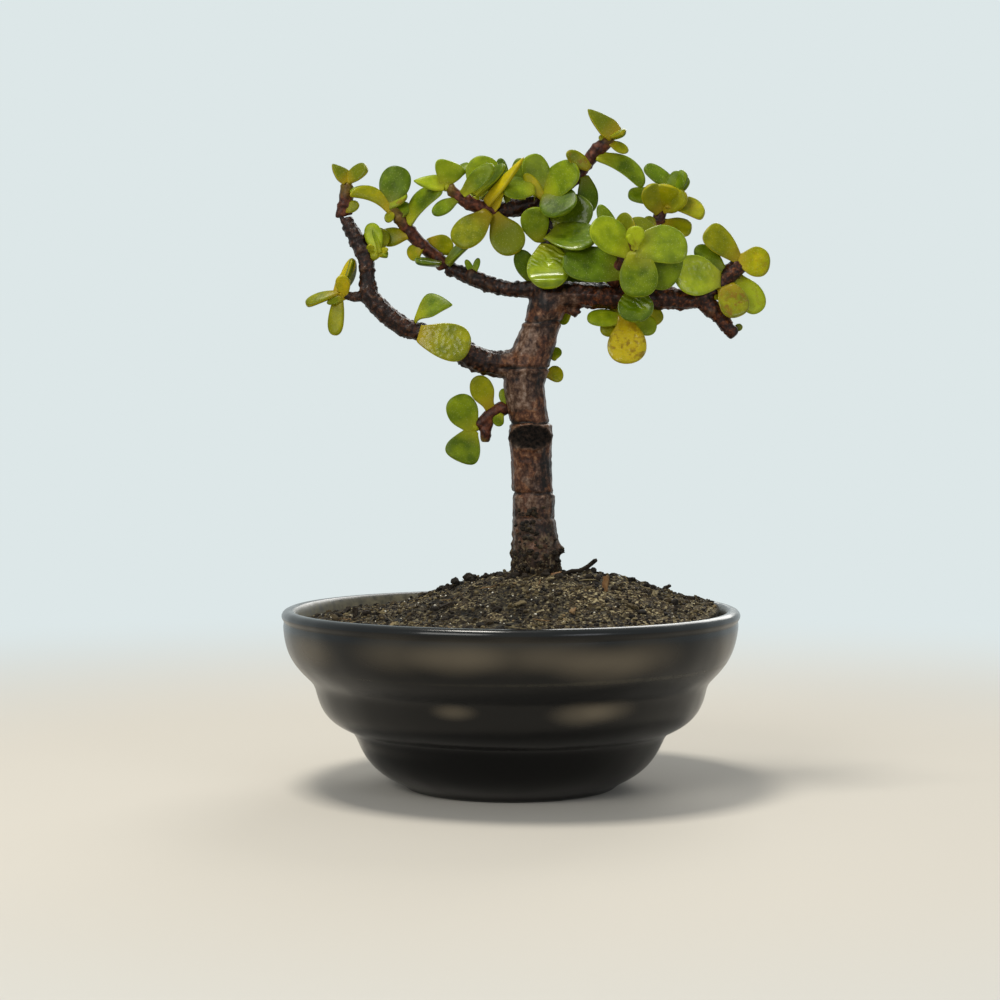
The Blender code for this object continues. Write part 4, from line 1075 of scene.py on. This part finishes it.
# One single leaf a row: the way it grows, its outline, how much wider and longer it is than its
# CAD solid, its tint from -1 (deep green) to 1 (pale and old), then whatever sets it apart from
# a flat, dry leaf; "start" and "end" are X and height where its seen part starts or ends
SINGLE_LEAVES = {
    "branch_kite": ((9, -1, 3), "kite", 1.05, 1.0, -0.5, {"bow": 0.2}),
    "branch_wet": ((12, -2, -3), "spoon", 1.0, 1.0, -0.3, {"wet": 0.45}),
    "upper_left_long": ((7, -2, 7), "cup", 1.15, 1.05, -0.6, {"bow": 0.16, "fold": 0.12}),
    "upper_left_round": ((4, 1, -1), "round", 1.1, 1.35, -0.3),
    "upper_left_dark": ((-5, -4, 0), "oval", 0.85, 1.1, -0.5, {"wet": 0.3}),
    "upper_left_rising": ((4, -1, 5), "cup", 1.5, 1.0, 0, {
        "start": (-15, 125.4), "end": (-9.6, 130.8), "bow": 0.1}),
    "crown_yellow": ((7, -3, 9), "horn", 0.75, 1.15, 0.5),
    "crown_hanging": ((5, -3, -9), "round", 1.1, 1.0, -1.1),
    "crown_olive": ((-3, -2, -9), "round", 1.35, 1.0, -0.7, {
        "start": (-5.6, 137), "end": (-13.2, 129.4), "fold": 0}),
    "crown_side": ((-8, -1, 0), "round", 1.3, 1.05, -0.4),
    "centre_round": ((-2, -3, 8), "round", 1.1, 1.0, -0.5),
    "centre_wet": ((6, -1, 8), "cup", 1.3, 1.0, -0.8, {
        "start": (10.8, 131.8), "end": (18, 140.6), "wet": 0.3}),
    "centre_flat": ((8, -6, 1), "cup", 1.7, 1.0, 0.1, {
        "start": (9.6, 132.4), "end": (19.8, 130), "wet": 0.3}),
    "centre_front": ((0, -8, -11), "round", 1.03, 1.0, -0.1, {"wet": 1.0, "lip": 1.0}),
    "centre_behind": ((-3, -1, 6), "oval", 0.95, 1.0, 0, {
        "start": (5.4, 121), "end": (1.8, 128.4)}),
    "apex_under": ((2, -6, -5), "cup", 1.1, 1.05, -0.5, {"upper": (0, -1, -0.08)}),
    "apex_hanging": ((1, 1, -8), "oval", 1.1, 1.0, -0.1),
    "apex_edge": ((-4, -2, 2), "oval", 0.85, 1.0, -0.4, {
        "start": (18.9, 147.6), "end": (13.3, 151.6), "upper": (0, -1, 0.3), "marked": 0.7}),
    "apex_long": ((10, -1, -6), "cup", 0.95, 1.04, -0.6, {"upper": (0.3, -1, 0.5), "bow": 0.15}),
    "right_back": ((-8, 0, 1), "cup", 1.1, 0.95, 0.4),
    "right_arch": ((8, -2, -3), "cup", 1.2, 1.04, 0, {"bow": 0.16}),
    "right_yellow": ((6, -1, -1), "cup", 1.2, 1.0, -0.2),
    "rosette_left": ((-8, -2, 3), "round", 1.2, 1.0, 0.1, {
        "start": (27.8, 126.6), "end": (19, 134.2), "fold": 0.1}),
    "rosette_right": ((10, -1, -2), "cup", 1.3, 1.0, -0.2, {
        "start": (29.2, 128.4), "end": (41.2, 127.4), "bow": 0.1, "upper": (0, -1, 0.25),
        "fold": 0.05, "wet": 0.25}),
    "rosette_low": ((9, 0, -3), "cup", 2, 1.0, 0.3, {
        "start": (29.8, 126), "end": (40, 122.8), "upper": (0, -1, -0.1)}),
    "rosette_front": ((1, -2, -11), "cup", 1.0, 1.0, -0.5, {
        "start": (29.8, 126.4), "end": (29.8, 116.6)}),
    "branch_front": ((0, -3, -7), "round", 1.05, 1.1, 0, {"wet": 0.9, "fold": 0.2}),
    "branch_rest": ((-10, 0, 2), "cup", 1.2, 1.0, -0.3, {
        "start": (27.4, 123.4), "end": (12, 125.2)}),
    "under_big": ((0, -3, -10), "round", 1.0, 1.0, 1.0, {"wet": 0.35}),
    "end_wet": ((-10, -4, 1), "round", 1.1, 1.08, 0.42, {"wet": 0.3}),
    "end_dark": ((-6, 0, 5), "oval", 1.2, 1.1, 0.3),
    "end_pale": ((5, 0, -8), "round", 1.0, 1.0, 0.7, {"marked": 0.2}),
    "end_marked": ((3, -2, -7), "cup", 1.25, 1.05, -0.35, {"wet": 0.3, "marked": 0.8}),
    "low_single": ((-3, -1, 7), "oval", 1.05, 1.0, -0.1),
    "trunk_right": ((4, 1, 0), "round", 1.0, 1.0, 0.1),
}


for name, (grow, outline, wider, longer, tint, *more) in SINGLE_LEAVES.items():
    node = "leaf_" + name
    foot, tip, width, upper = leaf_axes(node, grow)
    tip = foot + (tip - foot) * longer
    traits = {"upper": upper, **dict(*more)}
    for key, spot in (("start", foot), ("end", tip)):
        if key in traits:
            x, z = traits.pop(key)
            spot.x, spot.z = x * MM, z * MM
    bm = layered(*LEAF_VALUES)
    grow_leaf(bm, foot, tip, width * wider, outline=outline, root=rooted(foot), tint=tint,
              **traits)
    leaf_piece("blade_" + name, bm, TONE_OF[node], node,
               coat=WET_COAT if traits.get("wet") else 0.0)

# ---------------------------------------------------------------- leaves that share a bud
# At the shoots' tips and short spurs the leaves sit crowded round one bud.  Each group is one
# growth: a short green stub with its pairs of leaves, the outer ones the oldest and largest.
# A group: the bud's place in mm, then for each leaf the way it grows, its width in mm, its
# upper side, its outline, its tint and what else sets it apart
BUD_GROUPS = {
    "far_left_tip": ((-39.2, 3, 145), [
        ((-3.5, -0.6, 3), 5, (0.6, -0.8, 0.5), "horn", -0.9),
        ((4.8, -1.4, 2.4), 4.6, (-0.4, -1, 0.6), "cup", -1.1)]),
    "left_spur": ((-41, 1.2, 118.2), [
        ((0, -2.7, 6.2), 3.8, (1, -0.4, 0.1), "oval", -0.9, {"arch": 0.12}),
        ((3.4, 0.6, 8.3), 3.8, (-0.5, -1, 0), "horn", 0.5),
        ((-8, -1.0, -2.7), 3.6, (0.1, -0.8, 1), "spoon", -0.5, {"arch": 0.05}),
        ((-1.1, -0.8, -10.2), 4.2, (-0.3, -1, 0), "spoon", -0.2),
        ((3, 2.6, 4.4), 3.6, (-0.7, -0.8, 0), "round", 0.4)]),
    "branch_bud": ((-31.3, -0.8, 127.4), [
        ((-2.5, -2, 4.9), 4.4, (-0.2, -1, 0.2), "round", 0.2),
        ((-2.3, 1.6, 7.4), 3, (-0.8, -0.6, 0), "horn", -0.4),
        ((2.1, 0.4, 0), 2.4, (0, -0.6, 1), "oval", 0)]),
    "upper_left_tip": ((-29.5, 2.3, 138.9), [
        ((-8.9, -1.3, 2.6), 3, (0.1, -1, 0.5), "cup", 1.0, {"bow": -0.2}),
        ((3.1, 1.1, 8.7), 7.8, (0, -1, 0.3), "round", -0.2),
        ((3.3, -3.7, 3.8), 5, (-0.3, -1, 0.3), "cup", 1.0, {"end": (-25.4, 142.8)})]),
    "crown_left_tip": ((-16, 0.9, 143.9), [
        ((-7.7, -0.7, 0.5), 4.6, (0, -1, 0.5), "horn", 0.2, {"end": (-23.2, 144.8)}),
        ((0.4, -0.7, 5.1), 7.4, (0.3, -1, 0.2), "fan", 0.1, {"end": (-14, 149.4)}),
        ((6, 3.3, 4.8), 4, (-0.6, -0.8, 0.5), "oval", -0.6)]),
    "crown_bright": ((-8.2, 0.9, 141.4), [
        ((2.6, 1.3, 8.8), 8.2, (0, -1, 0.2), "round", -0.1),
        ((6.7, -1.5, 6.6), 4.4, (-0.6, -0.8, 0.5), "oval", -0.6, {"fold": 0.25})]),
    "crown_pair": ((7.6, 3, 142), [
        ((-3.3, -2.2, 7.4), 7, (0.2, -1, 0.3), "cup", -0.2, {"fold": 0.1}),
        ((7.9, -4.8, 4.1), 8.8, (-0.2, -1, 0.5), "cup", -0.4, {"fold": 0.1})]),
    "apex_tip": ((24.6, 1.9, 155.6), [
        ((-6.7, -0.5, 5.7), 7, (0.5, -0.9, 0.6), "horn", -0.9),
        ((1.6, -6.3, 0), 4, (-0.3, -0.8, 0.8), "oval", -0.5, {"end": (26.2, 155.6)})]),
    "right_tip": ((39, 2.8, 143.2), [
        ((-6.9, 1.0, 5.3), 5, (0.5, -1, 0.5), "cup", 0.1, {"end": (32.2, 148.8)}),
        ((1.8, -4.2, 1.7), 5.6, (-0.2, -1, 0.6), "cup", 0.1, {"end": (41.4, 145.9)})]),
    "rosette_heart": ((29.2, -10.4, 130.6), [
        ((-4.1, 6.2, 3.3), 5.6, (-0.8, -1, 0.1), "round", -0.8),
        ((2.3, 4.6, 2.6), 6.4, (0.1, -1, 0.4), "round", -0.8)]),
    "under_branch": ((27.5, -3.2, 111.6), [
        ((-9.5, 0, 1.3), 5, (0, -1, 0.6), "round", 0.1),
        ((7.1, 0.6, -1.3), 5.6, (0, -1, 0.4), "round", 0.2)]),
    "right_end_tip": ((54.2, 0.6, 126), [
        ((-7.7, -1.8, 6.7), 7.4, (0.3, -1, 0.4), "fan", -0.3, {"fold": 0.12}),
        ((7.6, -0.6, -1.7), 8.2, (0, -1, 0.4), "round", 0, {"fold": 0.1, "marked": 0.3})]),
    "low_left_tip": ((-9.2, 0.9, 85.3), [
        ((-3.7, -0.7, 8.6), 7.8, (0.1, -1, 0), "round", -0.2),
        ((-2.9, -1.7, -7.1), 8.6, (0, -1, 0.2), "fan", -0.5)]),
}


for name, (bud, rows) in BUD_GROUPS.items():
    node = "leaves_" + name
    bud = Vector(bud) * MM
    solid = copied(node)
    spots = [v.co.copy() for v in solid.verts]
    solid.free()
    bm = layered(*LEAF_VALUES)
    root = rooted(bud, 9.0)
    tube(bm, [root, root.lerp(bud, 0.5), bud], [1.25 * MM, 1.15 * MM, 0.8 * MM], 10)
    for grow, width, upper, outline, tint, *more in rows:
        traits = dict(*more)
        heading = Vector(grow).normalized()
        tip = max(spots, key=lambda p: p.dot(heading)).copy()
        if "end" in traits:
            x, z = traits.pop("end")
            tip.x, tip.z = x * MM, z * MM
            heading = (tip - bud).normalized()
        grow_leaf(bm, bud + heading * 0.3 * MM, tip, width * MM, upper, outline,
                  root=bud - heading * 0.3 * MM, tint=tint, **traits)
    leaf_piece("blades_" + name, bm, TONE_OF[node], node)

# ---------------------------------------------------------------- small and hidden leaves
# Young leaves between the large ones, and the leaves on the far side of the crown.  They grow
# from the same stems, so each starts on the wood nearest to its place.
# A leaf: X and height of its base and of its tip, how far its tip stands back from its base,
# its width, all in mm, its outline, its tint and what else sets it apart
SMALL_LEAVES = {
    "small_leaves_left": ("leaf_yellow", [
        (-29.8, 139.4, -38.2, 141.6, -3.5, 3.8, "cup", 0, {"bow": -0.2}),
        (-39.3, 137.6, -36.3, 139.6, -1, 3, "oval", -0.5),
        (-29, 138, -29.6, 135, -1, 2.4, "oval", -0.4),
        (-31.8, 127.6, -31.3, 133.9, 2.5, 6.6, "round", -0.5),
        (-24.3, 130.2, -32, 131.4, 1.5, 5, "oval", -0.6, {"fold": 0}),
        (-20.6, 128.6, -24.6, 127, 1.5, 4.2, "round", 0.1),
        (-31.6, 127.4, -33.4, 129.6, -2, 2.2, "oval", -0.2),
        (-31.4, 127, -29.2, 128.6, -2, 2, "oval", 0.2),
        (-41.6, 117.6, -40.4, 122.2, -2.5, 3.6, "round", 0.6),
        (-41, 117, -43.9, 115.7, -1, 1.9, "oval", -1.0)]),
    "small_leaves_upper_left": ("leaf_dark", [
        (-26.6, 136.4, -25, 140, 2.5, 3.8, "oval", 0),
        (36.2, 139, 41.3, 146.6, -1.0, 5.4, "fan", 0.3),
        (-13.6, 139.4, -18.7, 136.9, -1, 3.8, "oval", 0.3),
        (-9.2, 123.6, -10.8, 126.2, 0, 1.7, "oval", 0.3),
        (-9.2, 123.6, -7.7, 126.6, 0, 1.7, "oval", 0.3),
        (-6.3, 138.6, -2, 145.5, 1, 2.8, "oval", 0.3),
        (-0.6, 139.5, -2.6, 150.6, 3, 3, "spoon", -0.2),
        (-5, 136.6, -11, 130, 3, 3.6, "oval", 0.2)]),
    "small_leaves_crown": ("leaf_green", [
        (-11.6, 141, -4.2, 148.2, -3, 4.6, "oval", -0.5, {"fold": 0.28}),
        (3, 141, 2, 150.6, 2, 4.6, "oval", -0.6),
        (8.4, 139, 14.2, 146.6, 3.5, 5.6, "oval", -0.6),
        (13.2, 137.5, 18.6, 131, 4, 6, "round", -0.9),
        (9.6, 129, 17.4, 130.6, -4, 6.2, "round", -0.5),
        (9.6, 126, 17, 125.4, 1, 5.4, "oval", -0.7),
        (23, 131.5, 20.8, 138.8, 2, 4.2, "oval", -0.6)]),
    "small_leaves_crown_yellow": ("leaf_yellow", [
        (-4.2, 138, -1.6, 142.4, -2, 2.4, "horn", 0.4),
        (7.2, 140.8, 3.2, 146.6, -1.8, 3.2, "oval", 0.4),
        (24.8, 155.6, 20.9, 155.2, 0.5, 1.9, "oval", -0.3),
        (23.6, 153.6, 28, 151.8, 0, 2.8, "oval", -0.3)]),
    "small_leaves_right": ("leaf_yellow", [
        (36.2, 137.6, 32.4, 143.4, -4, 6.2, "cup", -0.3),
        (35.6, 138.4, 41.6, 141.4, -4, 5.6, "cup", -0.3),
        (35.6, 138.2, 37.4, 143.6, -3.4, 6.4, "fan", -0.2),
        (36.8, 137.4, 40.4, 138.7, -1, 2.6, "oval", 0),
        (35, 133.6, 31.8, 136, -1, 3.2, "oval", -0.3),
        (25.5, 115, 22.4, 107.8, -1, 4.2, "spoon", -0.2),
        (31, 116, 35.4, 110.8, -1, 4.6, "spoon", 0),
        (50, 119, 48.4, 116.8, -1.5, 2, "oval", -0.3),
        (52.8, 109.2, 55.3, 110.4, -0.5, 1.9, "oval", -0.8),
        (47, 120, 43, 126.8, 2, 3.6, "oval", -0.8)]),
    "small_leaves_trunk": ("leaf_green", [
        (-2, 90.4, -2, 95.4, 1, 3.2, "oval", -0.1),
        (-2.2, 90, -3.6, 86.6, 1.5, 3, "oval", -0.2),
        (7.6, 103, 11.2, 105.2, 2.5, 3, "oval", -0.3),
        (14.3, 114, 12, 110.9, 2, 2.4, "oval", 0)]),
}
# A leaf on the far side: where it starts, the way it grows, its width, all in mm, its outline
BACK_LEAVES = {
    "back_leaves_crown": ("leaf_dark", [
        ((9, 6, 130), (-3, 9, 3), 7.6, "round"), ((10, 6, 134), (5, 9, 2), 7.0, "spoon"),
        ((4, 6, 139), (-3, 8, 4), 6.4, "round"), ((-2, 5, 138), (-2, 8, 4), 6.2, "oval"),
        ((14, 6, 145), (-3, 9, 1), 6.6, "round"), ((10, 5, 124), (4, 9, 2), 7.2, "fan")]),
    "back_leaves_branches": ("leaf_green", [
        ((-9, 4, 139), (1, 8, 5), 6.2, "round"), ((22, 1, 117), (-3, 9, 6), 7.6, "round"),
        ((33, 1, 118), (-1, 10, 7), 7.0, "round"), ((35, 5, 131), (-4, 7, -2), 6.0, "spoon"),
        ((29, -4, 128), (2, 9, 2), 6.4, "round"), ((14, 2, 118), (2, 9, 7), 7.2, "oval")]),
}


for name, (slot, rows) in SMALL_LEAVES.items():
    bm = layered(*LEAF_VALUES)
    for x0, z0, x1, z1, back, width, outline, tint, *more in rows:
        start = rooted(Vector((x0, 0.0, z0)) * MM, 14.0)
        tip = Vector((x1 * MM, start.y + back * MM, z1 * MM))
        grow_leaf(bm, start.lerp(tip, 0.08), tip, width * MM, (0.0, -1.0, 0.3), outline,
                  root=start, thick=min(LEAF_THICK, width * 0.4), tint=tint, **dict(*more))
    leaf_piece(name, bm, slot)
dice = random.Random(8)
for name, (slot, rows) in BACK_LEAVES.items():
    bm = layered(*LEAF_VALUES)
    for spot, grow, width, outline in rows:
        start = rooted(Vector(spot) * MM, 14.0)
        grow_leaf(bm, start + Vector(grow) * 0.1 * MM, start + Vector(grow) * MM, width * MM,
                  (dice.uniform(-0.4, 0.4), 0.5, 1.0), outline, root=start,
                  fold=dice.uniform(0.05, 0.2), tint=dice.uniform(-0.5, 0.4))
    leaf_piece(name, bm, slot)

# The two youngest leaves of the front rosette, still cupped and bright, stand up from its heart.
heart = layered(*LEAF_VALUES)
heart_low, heart_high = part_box("leaves_rosette_heart")
heart_root = Vector(((heart_low.x + heart_high.x) / 2, heart_low.y, heart_low.z - 2.2 * MM))
for across, rise, wide in ((0.2, 4.4, 4.4), (-1.7, 2.4, 2.2)):
    grow_leaf(heart, heart_root, heart_root + Vector((across, -1.6, rise)) * MM, wide * MM,
              (0.0, -1.0, 0.5), "round", tint=0.8, fold=0.16, thick=1.4,
              root=heart_root - Vector((0, 0, 1)) * MM)
leaf_piece("rosette_youngest_leaves", heart, "leaf_green")

# ---------------------------------------------------------------- studio
# A pale matt floor that fades into a pale background, lit by a soft sky and large diffused
# lamps.  None of it belongs to the object.
FLOOR_RADIUS = 6.0
FLOOR_CELLS = 8
FADE_START = 0.12                  # distance from the bowl at which the floor starts to fade, m
FADE_END = 0.45
FLOOR_COLOUR = "#c6c1b7"
WALL_COLOUR = "#dde7e8"
LENS_MM = 86.4
CAMERA_SPOT = (-0.0026, -0.574, 0.095)
CAMERA_DIP = 2.62                  # how far the camera looks down, in degrees


def seen(put):
    """1 for what the lens sees directly, in a gloss or through glass."""
    share = 0.0
    for ray in ("Is Camera Ray", "Is Glossy Ray", "Is Transmission Ray"):
        share = put("Math", share, put("LightPath", out=ray), operation="MAXIMUM")
    return share


def pale_paper():
    """Matt paper that fades into the wall's colour away from the bowl."""
    made, put, shader, coords = finish("pale_paper", Base_Color=FLOOR_COLOUR, Roughness=0.95,
                                        Metallic=0.0)
    away = put("VectorMath", coords, operation="LENGTH")
    fade = put("MapRange", away, FADE_START, FADE_END, interpolation_type="SMOOTHSTEP")
    share = put("Math", fade, seen(put), operation="MULTIPLY")
    wall = put("Emission", WALL_COLOUR, 1.0)
    mixed = put("MixShader", share, shader.outputs[0], wall)
    feed(made.node_tree.nodes["Material Output"], Surface=mixed)
    return made


def lamp(name, spot, aim, size, power, colour):
    light = bpy.data.lights.new(name, "AREA")
    light.shape = "RECTANGLE"
    light.size = light.size_y = size
    light.energy = power
    light.color = linear(colour)[:3]
    holder = stand(name, light)
    holder.location = spot
    holder.rotation_euler = (Vector(aim) - Vector(spot)).to_track_quat("-Z", "Y").to_euler()


floor_grid = bmesh.new()
bmesh.ops.create_grid(floor_grid, x_segments=FLOOR_CELLS, y_segments=FLOOR_CELLS,
                      size=FLOOR_RADIUS)
floor = stand("studio_floor", floor_grid)
floor.data.materials.append(pale_paper())
lamp("top_softbox", (-0.14, -0.08, 0.8), (0, 0, 0.08), 0.2, 4.6, "#fffaf0")
lamp("front_softbox", (-0.42, -0.7, 0.42), (0, 0, 0.09), 0.4, 3.4, "#fffdf8")
lamp("back_softbox", (0.25, 0.75, 0.5), (0, 0, 0.09), 0.5, 3.4, "#fffdf8")
lamp("right_softbox", (0.5, -0.65, 0.26), (0, 0, 0.09), 0.3, 1.1, "#f6f8ff")

sky = bpy.data.worlds.new("soft_sky")
bpy.context.scene.world = sky
sky.use_nodes = True
ambient = sky.node_tree.nodes["Background"]
feed(ambient, Color="#e8eff4", Strength=0.3)
put_sky = partial(add, sky.node_tree)
backdrop = put_sky("Background", WALL_COLOUR, 1.0)
either = put_sky("MixShader", seen(put_sky), ambient.outputs[0], backdrop)
feed(sky.node_tree.nodes["World Output"], Surface=either)

lens = bpy.data.cameras.new("camera")
lens.lens, lens.sensor_width = LENS_MM, 36.0
camera = stand("camera", lens)
camera.location = CAMERA_SPOT
camera.rotation_euler = (math.radians(90 - CAMERA_DIP), 0.0, 0.0)
bpy.context.scene.camera = camera
bpy.context.scene.view_settings.view_transform = "Standard"
